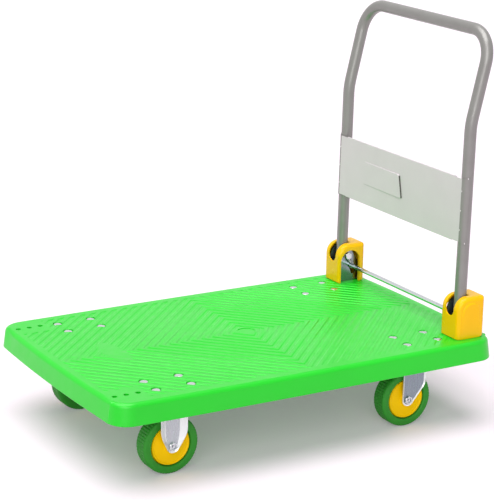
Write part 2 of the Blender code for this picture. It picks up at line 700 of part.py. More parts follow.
def add_casters():
    """Two fixed casters at the front and two swivel casters under the handle."""
    for end, side, place in caster_places():
        corner = f"{end}_{side}"
        if end == "front":
            axle = add_empty(f"axle_{corner}", place + Vector((0, 0, AXLE_Z)))
            add_rigid_fork(side, axle)
        else:
            add_swivel_head(side, place)
            swivel = add_empty(f"swivel_{side}", place + Vector((0, 0, CROWN_TOP_Z)))
            axle = add_empty(f"axle_{corner}", (-SWIVEL_TRAIL, 0, -axle_height(CROWN_TOP_Z)))
            axle.parent = swivel
            add_swivel_fork(side, swivel, axle)
        add_wheel(corner, axle)
        add_axle(corner, axle, SIDES[side])


# Bolts through the deck

def bolt_mesh(grip):
    """A round-headed bolt with its nut done up, hanging down from under its head."""
    top, end = Vector((0, 0, BOLT_HEAD_HEIGHT / 2)), Vector((0, 0, -grip - NUT_HEIGHT / 2))
    bolt = add_object("bolt", cylinder(BOLT_DIAMETER / 2, top, end, BOLT_SIDES), ZINC)
    head = cylinder(BOLT_HEAD_DIAMETER / 2, (0, 0, 0), (0, 0, BOLT_HEAD_HEIGHT), BOLT_SIDES)
    join(bolt, head, "head")
    join(bolt, hexagon(NUT_ACROSS, (0, 0, -grip), (0, 0, -grip - NUT_HEIGHT)), "nut")
    return bake(bolt)


def add_caster_bolts():
    """Four bolts through the deck and each caster's plate."""
    head_z = DECK_TOP_Z - BOLT_HEAD_SINK - BOLT_HEAD_HEIGHT
    mesh = bolt_mesh(head_z - PLATE_LOW_Z + GAP)
    for end, side, place in caster_places():
        for number, spot in enumerate(plate_bolt_places(), start=1):
            name = f"caster_bolt_{end}_{side}_{number}"
            add_object(name, mesh, ZINC, location=place + spot + Vector((0, 0, head_z)))


def add_bracket_bolts():
    """Two bolts through each hinge bracket and the deck's skin."""
    head_z = DECK_TOP_Z + BRACKET_SHEET + 2 * GAP
    mesh = bolt_mesh(BRACKET_SHEET + DECK_SKIN + 3 * GAP)
    for side in SIDES:
        for number, spot in enumerate(hinge_hole_places("rear", side)[1:], start=1):
            name = f"bracket_bolt_{side}_{number}"
            add_object(name, mesh, ZINC, location=spot + Vector((0, 0, head_z)))


# Hinges

def add_bracket(side, pivot, outward):
    """A folded bracket: base, two cheeks with the pivot hole and the rod's slot, and a nut welded outside."""
    floor = -PIVOT_HEIGHT + GAP
    front, rear = -COVER_FRONT_REACH + COVER_WALL + PLATE_ROOM, COVER_REAR_REACH - COVER_WALL - PLATE_ROOM
    base = box((rear - front, 2 * BRACKET_HALF, BRACKET_SHEET),
               ((front + rear) / 2, 0.0, floor + BRACKET_SHEET / 2))
    bracket = add_object(f"hinge_bracket_{side}", base, ZINC, pivot)
    shoulder = (CHEEK_REAR_REACH, -CHEEK_SHOULDER_DROP)
    front_shoulder = (-CHEEK_FRONT_REACH, -CHEEK_FRONT_DROP)
    start = tangent_angle(shoulder, CHEEK_RADIUS, 1)
    end = math.tau + tangent_angle(front_shoulder, CHEEK_RADIUS, -1)
    outline = [(-CHEEK_FRONT_REACH, floor + BRACKET_SHEET / 2), (CHEEK_REAR_REACH, floor + BRACKET_SHEET / 2),
               shoulder, *arc((0, 0), CHEEK_RADIUS, start, end), front_shoulder]
    for sign in (-1, 1):
        middle = Matrix.Translation((0.0, sign * (BRACKET_INNER + BRACKET_HALF) / 2, 0.0))
        join(bracket, sheet(outline, BRACKET_SHEET, middle @ TO_SIDE_VIEW), f"cheek{sign:+d}")
    nut_low, nut_high = BRACKET_HALF - BRACKET_SHEET / 2, BRACKET_HALF + PIVOT_NUT_HEIGHT
    join(bracket, hexagon(PIVOT_HEAD_ACROSS, (0, outward * nut_low, 0), (0, outward * nut_high, 0)), "nut")
    reach = 2 * COVER_HALF
    cut(bracket, cylinder(PIVOT_DIAMETER / 2 + RUN, (0, -reach, 0), (0, reach, 0)), "pivot_hole")
    ends = (ROD_OFFSET, ROD_OFFSET + ROD_TRAVEL * SLOT_AXIS)
    heading = math.atan2(SLOT_AXIS.z, SLOT_AXIS.x)
    slot = []
    for spot, turn in zip(ends, (math.pi / 2, -math.pi / 2)):
        slot += arc((spot.x, spot.z), ROD_RADIUS + RUN + BOLT_PLAY, heading + turn, heading + turn + math.pi)
    cut(bracket, sheet(slot, 2 * reach, TO_SIDE_VIEW), "slot")
    bolts = [spot - Vector((HINGE_X, spot.y, 0)) for spot in hinge_hole_places("rear", side)[1:]]
    holes = [upright_hole(spot, BOLT_DIAMETER / 2 + BOLT_PLAY, -2 * PIVOT_HEIGHT, floor + 2 * BRACKET_SHEET)
             for spot in bolts]
    cut(bracket, several(holes), "bolt_holes")


def cover_outline(inset, low):
    """The cover from the side: upright walls and a rolled front edge."""
    front, rear = -COVER_FRONT_REACH + inset, COVER_REAR_REACH - inset
    top = COVER_HEADROOM - inset
    radius = COVER_ROLL_RADIUS - inset
    rear_radius = COVER_EDGE_RADIUS
    return [(front, low), (rear, low),
            *arc((rear - rear_radius, top - rear_radius), rear_radius, 0.0, math.pi / 2, 3),
            *arc((front + radius, top - radius), radius, math.pi / 2, math.pi)]


def arch_outline(radius, low):
    """The arch in the cover's side, down to a height."""
    centre = (COVER_ARCH_SHIFT, -COVER_ARCH_DROP)
    return [(centre[0] - radius, low), (centre[0] + radius, low), *arc(centre, radius, 0.0, math.pi)]


def add_cover(side, pivot, outward):
    """The moulded hinge cover: slotted for the tube, open to the inside through an arch."""
    floor = -PIVOT_HEIGHT + GAP
    below = floor - COVER_WALL
    cover = add_object(f"hinge_cover_{side}", sheet(cover_outline(0.0, floor), 2 * COVER_HALF, TO_SIDE_VIEW),
                       YELLOW_COVER, pivot)
    soften = cover.modifiers.new("soft_edges", "BEVEL")
    soften.width = COVER_EDGE_RADIUS
    soften.segments = 2
    soften.limit_method = "ANGLE"
    soften.angle_limit = math.radians(60)
    relief = sheet(arch_outline(COVER_ARCH_RADIUS, floor + COVER_EDGE_RADIUS), COVER_WALL + COVER_RELIEF,
                   Matrix.Translation((0, outward * (COVER_HALF + (COVER_RELIEF - COVER_WALL) / 2), 0))
                   @ TO_SIDE_VIEW)
    join(cover, relief, "relief")
    inside = 2 * (COVER_HALF - COVER_WALL)
    cut(cover, sheet(cover_outline(COVER_WALL, below), inside, TO_SIDE_VIEW), "inside")
    opening = sheet(arch_outline(COVER_ARCH_RADIUS, below), 2 * COVER_WALL + COVER_HALF,
                    Matrix.Translation((0, -outward * COVER_HALF, 0)) @ TO_SIDE_VIEW)
    cut(cover, opening, "arch")
    half = TUBE_RADIUS + COVER_SLOT_ROOM
    slot = [(half, COVER_HEIGHT), (-half, COVER_HEIGHT), *arc((0, 0), half, math.pi, 2 * math.pi)]
    length = COVER_FRONT_REACH + 2 * half
    cut(cover, sheet(slot, length, Matrix.Translation((half - length / 2, 0, 0)) @ TO_END_VIEW), "tube_slot")


def add_pivot_bolt(side, pivot, outward):
    """The hexagon bolt that the handle turns on, from the inside out."""
    sign = Vector((0, outward, 0))
    head_end = PIVOT_HEAD_OFFSET + PIVOT_HEAD_HEIGHT
    shank = cylinder(PIVOT_DIAMETER / 2, -sign * (PIVOT_HEAD_OFFSET + PIVOT_HEAD_HEIGHT / 2),
                     sign * PIVOT_END_OFFSET)
    bolt = add_object(f"pivot_bolt_{side}", shank, ZINC, pivot)
    join(bolt, hexagon(PIVOT_HEAD_ACROSS, -sign * PIVOT_HEAD_OFFSET, -sign * head_end), "head")


def hook_points(radius, heading, side):
    """Points of a spring's end loop about the origin, from its free end to the side facing the coil."""
    across = Vector((-heading.z, 0.0, heading.x)) * side
    turns = [SPRING_HOOK_TURN * (1 - i / SPRING_HOOK_STEPS) for i in range(SPRING_HOOK_STEPS + 1)]
    return [radius * (math.cos(a) * across - math.sin(a) * heading) for a in turns]


def spring_points():
    """The release spring's wire in the pivot's frame: loop on the bolt, coil and loop on the rod."""
    heading = ROD_OFFSET.normalized()
    across = Vector((-heading.z, 0.0, heading.x))
    along_y = Vector((0.0, 1.0, 0.0))
    coil = SPRING_COIL_DIAMETER / 2
    bolt_loop = PIVOT_DIAMETER / 2 + GAP + SPRING_WIRE / 2
    rod_loop = ROD_RADIUS + GAP + SPRING_WIRE / 2
    pitch = SPRING_WIRE + SPRING_COIL_GAP
    first = bolt_loop + SPRING_LEAD
    last = ROD_REACH - rod_loop - SPRING_LEAD
    curls = max(1, math.floor((last - first) / pitch))
    middle = (first + last) / 2
    straight = SPRING_LEAD
    points = hook_points(bolt_loop, heading, 1)
    points.append(bolt_loop * across + straight * heading)
    steps = curls * SPRING_CURL_POINTS
    quarter = SPRING_CURL_POINTS / 4
    for i in range(steps + 1):
        turn = math.tau * i / SPRING_CURL_POINTS
        place = middle + pitch * (i / SPRING_CURL_POINTS - curls / 2)
        lead_in = max(0.0, 1.0 - i / quarter)
        lead_out = max(0.0, 1.0 - (steps - i) / quarter)
        place += SPRING_LEAD * (lead_out ** 2 - lead_in ** 2)
        points.append(place * heading + coil * (math.cos(turn) * across + math.sin(turn) * along_y))
    points.append(rod_loop * across + (ROD_REACH - straight) * heading)
    far = [ROD_OFFSET + point for point in hook_points(rod_loop, -heading, -1)]
    return points + far[::-1]


def least_self_gap(points, wire):
    """The least clear distance between stretches of a wire that aren't neighbours along it."""
    dense = []
    for first, second in zip(points, points[1:]):
        dense += [first.lerp(second, i / 4) for i in range(4)]
    run = [0.0]
    for first, second in zip(dense, dense[1:]):
        run.append(run[-1] + (second - first).length)
    apart = 4 * wire
    distances = [(dense[i] - dense[j]).length for i in range(len(dense)) for j in range(i)
                 if run[i] - run[j] > apart]
    return min(distances) - wire


def add_spring(side, pivot, outward):
    """The extension spring that pulls the rod up its slot."""
    points = [point + Vector((0, -outward * SPRING_OFFSET, 0)) for point in spring_points()]
    add_object(f"release_spring_{side}", pipe(points, SPRING_WIRE / 2, 1), SPRING_STEEL, pivot)
    print(f"release_spring_{side} least gap to itself {least_self_gap(points, SPRING_WIRE) * 1000:.2f} mm")


def add_release_rod():
    """The foot rod that joins both hinges."""
    guide = add_empty("release_guide", Vector((HINGE_X, 0, PIVOT_Z)) + ROD_OFFSET)
    half = HINGE_Y + BRACKET_HALF + ROD_END
    rod = add_object("release_rod", cylinder(ROD_RADIUS, (0, -half, 0), (0, half, 0), ROUND_SIDES),
                     ZINC, guide)
    soften = rod.modifiers.new("end_chamfer", "BEVEL")
    soften.width = ROD_DIAMETER / 10
    soften.segments = 1
    soften.limit_method = "ANGLE"
    soften.angle_limit = math.radians(60)


def add_hinges():
    """Brackets, covers, pivot bolts and springs on both sides, and the rod between them."""
    for side, outward in SIDES.items():
        pivot = add_empty(f"pivot_{side}", (HINGE_X, outward * HINGE_Y, PIVOT_Z))
        add_bracket(side, pivot, outward)
        add_cover(side, pivot, outward)
        add_pivot_bolt(side, pivot, outward)
        add_spring(side, pivot, outward)
    add_release_rod()


# Handle

def leg_direction(lean):
    """The way up a part of the handle that leans to the rear."""
    return Vector((math.sin(lean), 0.0, math.cos(lean)))


def handle_half(tail):
    """The tube's centre line on the left side, from below the pivot to the middle of the bar."""
    base = Vector((0.0, -HINGE_Y, 0.0))
    low, high = leg_direction(LEG_LEAN), leg_direction(UPPER_LEAN)
    bend = UPPER_LEAN - LEG_LEAN
    setback = LEG_BEND_RADIUS * math.tan(bend / 2)
    points = [base - tail * low]
    start = base + (LEG_LENGTH - setback) * low
    rearward = Vector((low.z, 0.0, -low.x))
    for i in range(ARC_STEPS // 2 + 1):
        a = 2 * bend * i / ARC_STEPS
        points.append(start + LEG_BEND_RADIUS * (math.sin(a) * low + (1 - math.cos(a)) * rearward))
    corner = base + LEG_LENGTH * low + (UPPER_LENGTH - BAR_BEND_RADIUS) * high
    for i in range(ARC_STEPS + 1):
        a = math.pi / 2 * i / ARC_STEPS
        points.append(corner + BAR_BEND_RADIUS * (math.sin(a) * high + (1 - math.cos(a)) * Vector((0, 1, 0))))
    return points


def handle_line(tail):
    """The whole centre line, mirrored across the middle."""
    half = handle_half(tail)
    return half + [Vector((p.x, -p.y, p.z)) for p in reversed(half)]


def add_handle_tube(fold):
    """The bent tube, open at its lower ends and drilled for the pivots."""
    outer = pipe(handle_line(TUBE_TAIL), TUBE_RADIUS, TUBE_RESOLUTION)
    tube = add_object("handle_tube", outer, GREY_ENAMEL, fold)
    inner = pipe(handle_line(TUBE_TAIL + TUBE_RADIUS), TUBE_RADIUS - TUBE_WALL, BORE_RESOLUTION)
    cut(tube, inner, "bore")
    reach = HINGE_Y + TUBE_DIAMETER
    bore = PIVOT_DIAMETER / 2 + RUN
    cut(tube, cylinder(bore, (0, -reach, 0), (0, reach, 0)), "pivot_holes")


def panel_plan():
    """The panel's middle line seen along the legs: a straight run that wraps both tubes outwards."""
    radius = TUBE_RADIUS + GAP + PANEL_SHEET / 2
    right = [(x, HINGE_Y + y) for x, y in arc((0, 0), radius, math.pi, math.pi - PANEL_WRAP, 5)]
    return [(x, -y) for x, y in reversed(right)] + right


def add_handle_panel(fold):
    """The sheet panel across the legs, with lips folded back and a plain pressed field."""
    bm = bmesh.new()
    line = [bm.verts.new((x, y, PANEL_START)) for x, y in panel_plan()]
    edges = [bm.edges.new(pair) for pair in zip(line, line[1:])]
    grown = bmesh.ops.extrude_edge_only(bm, edges=edges)
    moved = [item for item in grown["geom"] if isinstance(item, bmesh.types.BMVert)]
    bmesh.ops.translate(bm, verts=moved, vec=(0, 0, PANEL_HEIGHT))
    mesh = bpy.data.meshes.new("panel")
    bm.to_mesh(mesh)
    bm.free()
    panel = add_object("handle_panel", mesh, SILVER_ENAMEL, fold)
    panel.rotation_euler = (0.0, LEG_LEAN, 0.0)
    thick = panel.modifiers.new("sheet", "SOLIDIFY")
    thick.thickness = PANEL_SHEET
    thick.offset = 0.0
    plane_x = -TUBE_RADIUS - GAP - PANEL_SHEET / 2
    lip_width = 2 * (HINGE_Y - TUBE_DIAMETER)
    for end, low in (("low", PANEL_START), ("top", PANEL_START + PANEL_HEIGHT - PANEL_SHEET)):
        centre = (plane_x + PANEL_LIP / 2, 0.0, low + PANEL_SHEET / 2)
        join(panel, box((PANEL_LIP, lip_width, PANEL_SHEET), centre), f"lip_{end}")
    field = sheet(rounded_rectangle(PRESSING_WIDTH, PRESSING_HEIGHT, PRESSING_CORNER_RADIUS, 2),
                  PRESSING_RISE + PANEL_SHEET / 2,
                  Matrix.Translation((plane_x - PRESSING_RISE / 2 - PANEL_SHEET / 4, PRESSING_SHIFT,
                                      PANEL_START + PANEL_HEIGHT / 2 + PRESSING_LIFT)) @ TO_END_VIEW)
    join(panel, field, "pressing")


def add_handle():
    """The folding handle, on an empty at the pivot axis."""
    fold = add_empty("handle_fold_axis", (HINGE_X, 0.0, PIVOT_Z))
    add_handle_tube(fold)
    add_handle_panel(fold)


def shade_parts():
    """Shades round pieces smooth, and keeps their real edges sharp and their wide faces flat."""
    for piece in PARTS.objects:
        if piece.type == "MESH":
            piece.data.shade_smooth()
            piece.data.set_sharp_from_angle(angle=SHARP_ANGLE)
            flat = piece.modifiers.new("flat_faces", "WEIGHTED_NORMAL")
            flat.keep_sharp = True


def main():
    """Builds the trolley from the deck out."""
    add_deck()
    add_casters()
    add_caster_bolts()
    add_bracket_bolts()
    add_hinges()
    add_handle()
    shade_parts()
    bpy.context.view_layer.update()


main()
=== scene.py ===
"""Looks of a folding platform trolley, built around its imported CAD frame.

Metres, +Z up, in the frame's own axes: +X is the handle end, and -Y is the left side of someone pushing.
"""

from __future__ import annotations

import logging
import math
from dataclasses import dataclass
from enum import Enum
from typing import Any, Iterable, Sequence

import bmesh
import bpy
from mathutils import Matrix, Vector

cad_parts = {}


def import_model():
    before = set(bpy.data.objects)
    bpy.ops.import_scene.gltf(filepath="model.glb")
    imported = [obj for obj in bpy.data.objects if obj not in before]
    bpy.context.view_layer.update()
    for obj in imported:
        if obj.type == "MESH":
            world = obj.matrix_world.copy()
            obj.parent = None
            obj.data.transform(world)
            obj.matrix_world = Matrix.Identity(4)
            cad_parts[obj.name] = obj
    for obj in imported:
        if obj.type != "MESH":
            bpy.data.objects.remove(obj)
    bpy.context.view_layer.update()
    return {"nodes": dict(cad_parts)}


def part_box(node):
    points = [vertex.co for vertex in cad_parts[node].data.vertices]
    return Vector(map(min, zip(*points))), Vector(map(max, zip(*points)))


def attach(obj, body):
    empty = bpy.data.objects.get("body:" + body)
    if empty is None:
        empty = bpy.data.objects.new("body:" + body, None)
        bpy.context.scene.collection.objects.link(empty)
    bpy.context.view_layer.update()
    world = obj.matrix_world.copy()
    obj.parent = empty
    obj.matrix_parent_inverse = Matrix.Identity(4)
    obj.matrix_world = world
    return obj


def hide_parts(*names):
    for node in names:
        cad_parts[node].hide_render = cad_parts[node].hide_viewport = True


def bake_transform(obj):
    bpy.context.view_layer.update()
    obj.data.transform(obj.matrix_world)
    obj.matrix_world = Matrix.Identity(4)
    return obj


LOG = logging.getLogger("trolley")
MM = 0.001
WELD = 1e-6  # points closer than this are one point
SLIVER = 0.005 * MM  # faces thinner than this are dropped before cuts
SHARP = math.radians(38.0)  # edges bent more than this stay crisp

Mesh = bpy.types.Mesh
Ring = list[Vector]
Plan = list[tuple[float, float]]


class Side(Enum):
    """The two sides of the trolley, with the way that each one faces along Y."""

    LEFT = -1
    RIGHT = 1

    @property
    def tag(self) -> str:
        """The side's name in the CAD nodes."""
        return self.name.lower()


class End(Enum):
    """The two ends of the deck, with the way that each one faces along X."""

    FRONT = -1
    REAR = 1

    @property
    def tag(self) -> str:
        """The end's name in the CAD nodes."""
        return self.name.lower()


class Way(Enum):
    """How a Boolean combines two meshes."""

    CUT = "DIFFERENCE"
    JOIN = "UNION"
    KEEP = "INTERSECT"


class Look(Enum):
    """The finishes that the trolley's surfaces have."""

    DECK = "moulded deck"
    COVER = "moulded cover"
    TUBE = "enamelled tube"
    PANEL = "enamelled sheet"
    SHEARED = "painted shade strip"
    PRESSED = "plated pressing"
    FOLDED = "plated folded sheet"
    ROLLED = "plated rolled sheet"
    BAR = "plated bar"
    FASTENER = "plated bolt"
    BURNISHED = "painted edge highlight"
    SPRING = "spring wire"
    BUSH = "turned bush"
    HUB = "moulded hub"
    TYRE = "rubber tread"


# Materials


def linear(code: str) -> tuple[float, float, float, float]:
    """Turns an sRGB hex colour to linear values.

    Args:
        code: six hex digits after a hash sign.

    Returns:
        Red, green, blue and alpha.
    """
    parts = [int(code[i:i + 2], 16) / 255 for i in (1, 3, 5)]
    values = [p / 12.92 if p <= 0.04045 else ((p + 0.055) / 1.055) ** 2.4 for p in parts]
    return values[0], values[1], values[2], 1.0


def per_metre(size_mm: float) -> float:
    """The texture scale whose features are about this size in millimetres."""
    return 1.0 / (size_mm * MM)


def add_node(tree: bpy.types.NodeTree, kind: str, settings: dict[str, Any] | None = None,
             inputs: dict[Any, Any] | None = None) -> bpy.types.Node:
    """Adds a shader node with its settings, and its inputs as values or links.

    Args:
        tree: the material's node tree.
        kind: the node's type name.
        settings: properties of the node.
        inputs: a value, or an output socket to link, for each input.

    Returns:
        The new node.
    """
    made = tree.nodes.new(kind)
    for name, value in (settings or {}).items():
        setattr(made, name, value)
    for key, value in (inputs or {}).items():
        if isinstance(value, bpy.types.NodeSocket):
            tree.links.new(value, made.inputs[key])
        else:
            made.inputs[key].default_value = value
    return made


@dataclass(frozen=True)
class Finish:
    """A surface: two close colours that drift into each other, an uneven gloss and a fine relief.

    The slot is the record's material slot that the surface belongs to. The sizes in millimetres are those of the
    drift, of the gloss patches and of the relief's grain. The stretch draws all three out along Z, as a rolled or
    brushed surface is.
    """

    name: str
    slot: str
    colour: str
    shade: str
    roughness: float
    roughness_drift: float
    metallic: float = 0.0
    ior_level: float = 0.5
    coat: float = 0.0
    drift_mm: float = 70.0
    patch_mm: float = 25.0
    grain_mm: float = 1.5
    grain_depth_mm: float = 0.02
    stretch: float = 1.0

    def build(self) -> bpy.types.Material:
        """Makes the material.

        Returns:
            A Principled material whose colour, roughness and relief come from noise in object space.
        """
        material = bpy.data.materials.new(self.name)
        material.use_nodes = True
        tree = material.node_tree
        shader = tree.nodes["Principled BSDF"]
        spot = add_node(tree, "ShaderNodeTexCoord")
        drawn = add_node(tree, "ShaderNodeMapping", None,
                         {"Vector": spot.outputs["Object"], "Scale": (1.0, 1.0, 1.0 / self.stretch)})
        place = drawn.outputs["Vector"]
        drift = add_node(tree, "ShaderNodeTexNoise", None,
                         {"Vector": place, "Scale": per_metre(self.drift_mm), "Detail": 3.0})
        tone = add_node(tree, "ShaderNodeMix", {"data_type": "RGBA"},
                        {"Factor": drift.outputs["Fac"], 6: linear(self.colour), 7: linear(self.shade)})
        patch = add_node(tree, "ShaderNodeTexNoise", None,
                         {"Vector": place, "Scale": per_metre(self.patch_mm), "Detail": 4.0})
        gloss = add_node(tree, "ShaderNodeMapRange", None,
                         {"Value": patch.outputs["Fac"], "From Min": 0.3, "From Max": 0.7,
                          "To Min": self.roughness - self.roughness_drift,
                          "To Max": self.roughness + self.roughness_drift})
        grain = add_node(tree, "ShaderNodeTexNoise", None,
                         {"Vector": place, "Scale": per_metre(self.grain_mm), "Detail": 2.0})
        relief = add_node(tree, "ShaderNodeBump", None,
                          {"Height": grain.outputs["Fac"], "Strength": 1.0,
                           "Distance": self.grain_depth_mm * MM})
        tree.links.new(tone.outputs[2], shader.inputs["Base Color"])
        tree.links.new(gloss.outputs["Result"], shader.inputs["Roughness"])
        tree.links.new(relief.outputs["Normal"], shader.inputs["Normal"])
        shader.inputs["Metallic"].default_value = self.metallic
        shader.inputs["Specular IOR Level"].default_value = self.ior_level
        shader.inputs["Coat Weight"].default_value = self.coat
        shader.inputs["Coat Roughness"].default_value = 0.12
        return material


FINISHES: dict[Look, Finish] = {
    # Injection-moulded polypropylene: a waxy half gloss that lifts at low angles, and a faint flow mottle.
    Look.DECK: Finish("green_polypropylene_moulded", "deck_green", "#1AD324", "#15CA1F", 0.33, 0.05,
                      ior_level=0.46, drift_mm=120.0, grain_mm=2.2, grain_depth_mm=0.015),
    # Injection-moulded ABS: an even, bright colour from a polished mould, with soft highlights on its edges.
    Look.COVER: Finish("yellow_abs_moulded", "cover_yellow", "#FFC600", "#FEC000", 0.24, 0.04, ior_level=0.22,
                       drift_mm=45.0, grain_mm=3.0, grain_depth_mm=0.01),
    # Silver-grey stoving enamel on drawn tube: soft metallic glints along the round.
    Look.TUBE: Finish("silver_grey_enamel_on_tube", "tube_grey", "#908F8C", "#858380", 0.34, 0.05,
                      metallic=0.4, coat=0.1, drift_mm=30.0, patch_mm=12.0, grain_mm=2.5, grain_depth_mm=0.012),
    # The tube's enamel on flat sheet, given a lighter silver as a painted reflection for the front-facing flat and
    # a faint pink cast that offsets the green light bounced from the deck, with a slight orange peel.
    Look.PANEL: Finish("silver_enamel_on_sheet", "panel_silver", "#D9D3D5", "#D1CBCD", 0.42, 0.05, metallic=0.1,
                       ior_level=0.35, drift_mm=55.0, patch_mm=18.0, grain_mm=3.5, grain_depth_mm=0.02),
    # Dark, dull steel on a thin strip at the pressed field's near end: painted shade for the shadow line along
    # that edge.
    Look.SHEARED: Finish("bare_sheared_steel", "panel_silver", "#55534F", "#454340", 0.6, 0.08, metallic=0.2,
                         drift_mm=6.0, patch_mm=3.0, grain_mm=0.8, grain_depth_mm=0.02),
    # Bright zinc plate over pressed sheet: pale, with drawn streaks down the pressing.
    Look.PRESSED: Finish("bright_zinc_plate_on_pressed_steel", "zinc", "#BBC0C4", "#B2B8BD", 0.27, 0.06,
                         metallic=0.6, drift_mm=7.0, patch_mm=4.0, grain_mm=2.2, grain_depth_mm=0.008,
                         stretch=9.0),
    # Zinc plate over rolled sheet in a bluish grey, kept darker than the pressed zinc as painted shade from the
    # deck above; its rolling marks show as fine upright streaks.
    Look.ROLLED: Finish("blue_zinc_plate_on_rolled_steel", "zinc", "#909BA4", "#7D8890", 0.28, 0.07,
                        metallic=0.75, drift_mm=3.4, patch_mm=3.0, grain_mm=2.0, grain_depth_mm=0.008,
                        stretch=10.0),
    # Bright zinc plate over folded sheet: it mirrors the deck, so its upright faces look half green.
    Look.FOLDED: Finish("bright_zinc_plate_on_folded_steel", "zinc", "#8D989B", "#79858A", 0.2, 0.06,
                        metallic=1.0, drift_mm=6.0, patch_mm=4.0, grain_mm=2.4, grain_depth_mm=0.01),
    # Zinc plate on bright drawn bar: the clearest mirror of all the metal.
    Look.BAR: Finish("bright_zinc_plate_on_drawn_bar", "zinc", "#DDE2E3", "#CBD1D3", 0.18, 0.05, metallic=1.0,
                     drift_mm=6.0, patch_mm=4.0, grain_mm=1.2, grain_depth_mm=0.006),
    # Zinc-plated bolts: a finer, brighter plate than on the sheet.
    Look.FASTENER: Finish("bright_zinc_plate_on_bolts", "fastener_zinc", "#D9DCDE", "#C4C8CB", 0.24, 0.06,
                          metallic=1.0, drift_mm=6.0, patch_mm=3.0, grain_mm=1.0, grain_depth_mm=0.008),
    # The legs' bent edges in a nearly white zinc beside the flat: a painted highlight for the light that the
    # flared edges catch.
    Look.BURNISHED: Finish("burnished_zinc_plate_on_bent_steel", "zinc", "#F7F9FA", "#EFF2F4", 0.22, 0.05,
                           metallic=0.3, drift_mm=9.0, patch_mm=6.0, grain_mm=2.2, grain_depth_mm=0.004),
    # Drawn spring wire: bright, with fine die lines.
    Look.SPRING: Finish("drawn_spring_steel", "spring_steel", "#C4C6C8", "#A7AAAD", 0.25, 0.06, metallic=1.0,
                        drift_mm=4.0, patch_mm=2.0, grain_mm=0.8, grain_depth_mm=0.006),
    # Plain turned steel bush, slightly dull from oil.
    Look.BUSH: Finish("turned_steel_oiled", "bush_steel", "#8E8F90", "#77797A", 0.36, 0.08, metallic=1.0,
                      drift_mm=5.0, patch_mm=3.0, grain_mm=0.8, grain_depth_mm=0.01),
    # Moulded polypropylene hub: the same waxy gloss as the deck, in yellow.
    Look.HUB: Finish("yellow_polypropylene_moulded", "hub_yellow", "#FFD400", "#FFCC00", 0.32, 0.05,
                     ior_level=0.08, drift_mm=35.0, grain_mm=2.0, grain_depth_mm=0.012),
    # Thermoplastic rubber tread: a dull green that goes a little paler where it is rubbed.
    Look.TYRE: Finish("green_thermoplastic_rubber", "tyre_green", "#35982E", "#2C8826", 0.5, 0.07,
                      ior_level=0.25, drift_mm=22.0, patch_mm=9.0, grain_mm=1.2, grain_depth_mm=0.03),
}


# Meshes


def mesh_from(bm: bmesh.types.BMesh) -> Mesh:
    """Welds a bmesh, turns its faces out and gives its mesh."""
    bmesh.ops.remove_doubles(bm, verts=bm.verts, dist=WELD)
    bmesh.ops.recalc_face_normals(bm, faces=bm.faces)
    mesh = bpy.data.meshes.new("form")
    bm.to_mesh(mesh)
    bm.free()
    return mesh


def loft(rings: Sequence[Ring], looped: bool = False) -> Mesh:
    """Skins closed rings that have as many points each.

    Args:
        rings: the rings in order.
        looped: whether the last ring joins the first, instead of both ends being capped.

    Returns:
        A closed mesh.
    """
    bm = bmesh.new()
    rows = [[bm.verts.new(point) for point in ring] for ring in rings]
    pairs = list(zip(rows, rows[1:]))
    if looped:
        pairs.append((rows[-1], rows[0]))
    else:
        bm.faces.new(rows[0])
        bm.faces.new(rows[-1])
    for first, second in pairs:
        for i in range(len(first)):
            j = (i + 1) % len(first)
            bm.faces.new((first[i], first[j], second[j], second[i]))
    return mesh_from(bm)


def moved(mesh: Mesh, matrix: Matrix) -> Mesh:
    """A copy of a mesh, moved or mirrored by a matrix, with its faces still pointing out."""
    bm = bmesh.new()
    bm.from_mesh(mesh)
    bmesh.ops.transform(bm, matrix=matrix, verts=bm.verts)
    return mesh_from(bm)


def gathered(meshes: Iterable[Mesh]) -> Mesh:
    """One mesh of several that stay apart."""
    bm = bmesh.new()
    for mesh in meshes:
        bm.from_mesh(mesh)
        bpy.data.meshes.remove(mesh)
    return mesh_from(bm)


def modified(mesh: Mesh, kind: str, **settings: Any) -> Mesh:
    """Applies one modifier to a mesh.

    Args:
        mesh: the mesh, which is used up.
        kind: the modifier's type.
        settings: the modifier's properties.

    Returns:
        The new mesh.
    """
    holder = bpy.data.objects.new("holder", mesh)
    bpy.context.scene.collection.objects.link(holder)
    modifier = holder.modifiers.new("step", kind)
    for name, value in settings.items():
        setattr(modifier, name, value)
    bpy.context.view_layer.update()
    graph = bpy.context.evaluated_depsgraph_get()
    made = bpy.data.meshes.new_from_object(holder.evaluated_get(graph))
    bpy.data.objects.remove(holder, do_unlink=True)
    bpy.data.meshes.remove(mesh)
    return made


def combined(mesh: Mesh, tool: Mesh, way: Way) -> Mesh:
    """Cuts, joins or intersects a mesh with a tool, and uses both up."""
    other = bpy.data.objects.new("tool", tool)
    bpy.context.scene.collection.objects.link(other)
    made = modified(mesh, "BOOLEAN", operation=way.value, object=other, solver="EXACT")
    bpy.data.objects.remove(other, do_unlink=True)
    bpy.data.meshes.remove(tool)
    return made


def arc(centre: tuple[float, float], radius: float, start: float, end: float, steps: int) -> Plan:
    """Plan points along an arc between two angles."""
    turns = [start + (end - start) * i / steps for i in range(steps + 1)]
    return [(centre[0] + radius * math.cos(a), centre[1] + radius * math.sin(a)) for a in turns]


def rounded_plan(length: float, width: float, radius: float, steps: int = 8) -> Plan:
    """Plan points of a rectangle with round corners about the origin."""
    points: Plan = []
    for i, (x, y) in enumerate(((1, 1), (-1, 1), (-1, -1), (1, -1))):
        centre = (x * (length / 2 - radius), y * (width / 2 - radius))
        points += arc(centre, radius, i * math.pi / 2, (i + 1) * math.pi / 2, steps)
    return points


def side_ring(plan: Plan, y: float) -> Ring:
    """A ring that stands square to Y, from points along X and Z."""
    return [Vector((x, y, z)) for x, z in plan]


def flat_ring(plan: Plan, z: float) -> Ring:
    """A level ring, from points along X and Y."""
    return [Vector((x, y, z)) for x, y in plan]


def end_ring(plan: Plan, x: float) -> Ring:
    """A ring that stands square to X, from points along Y and Z."""
    return [Vector((x, y, z)) for y, z in plan]


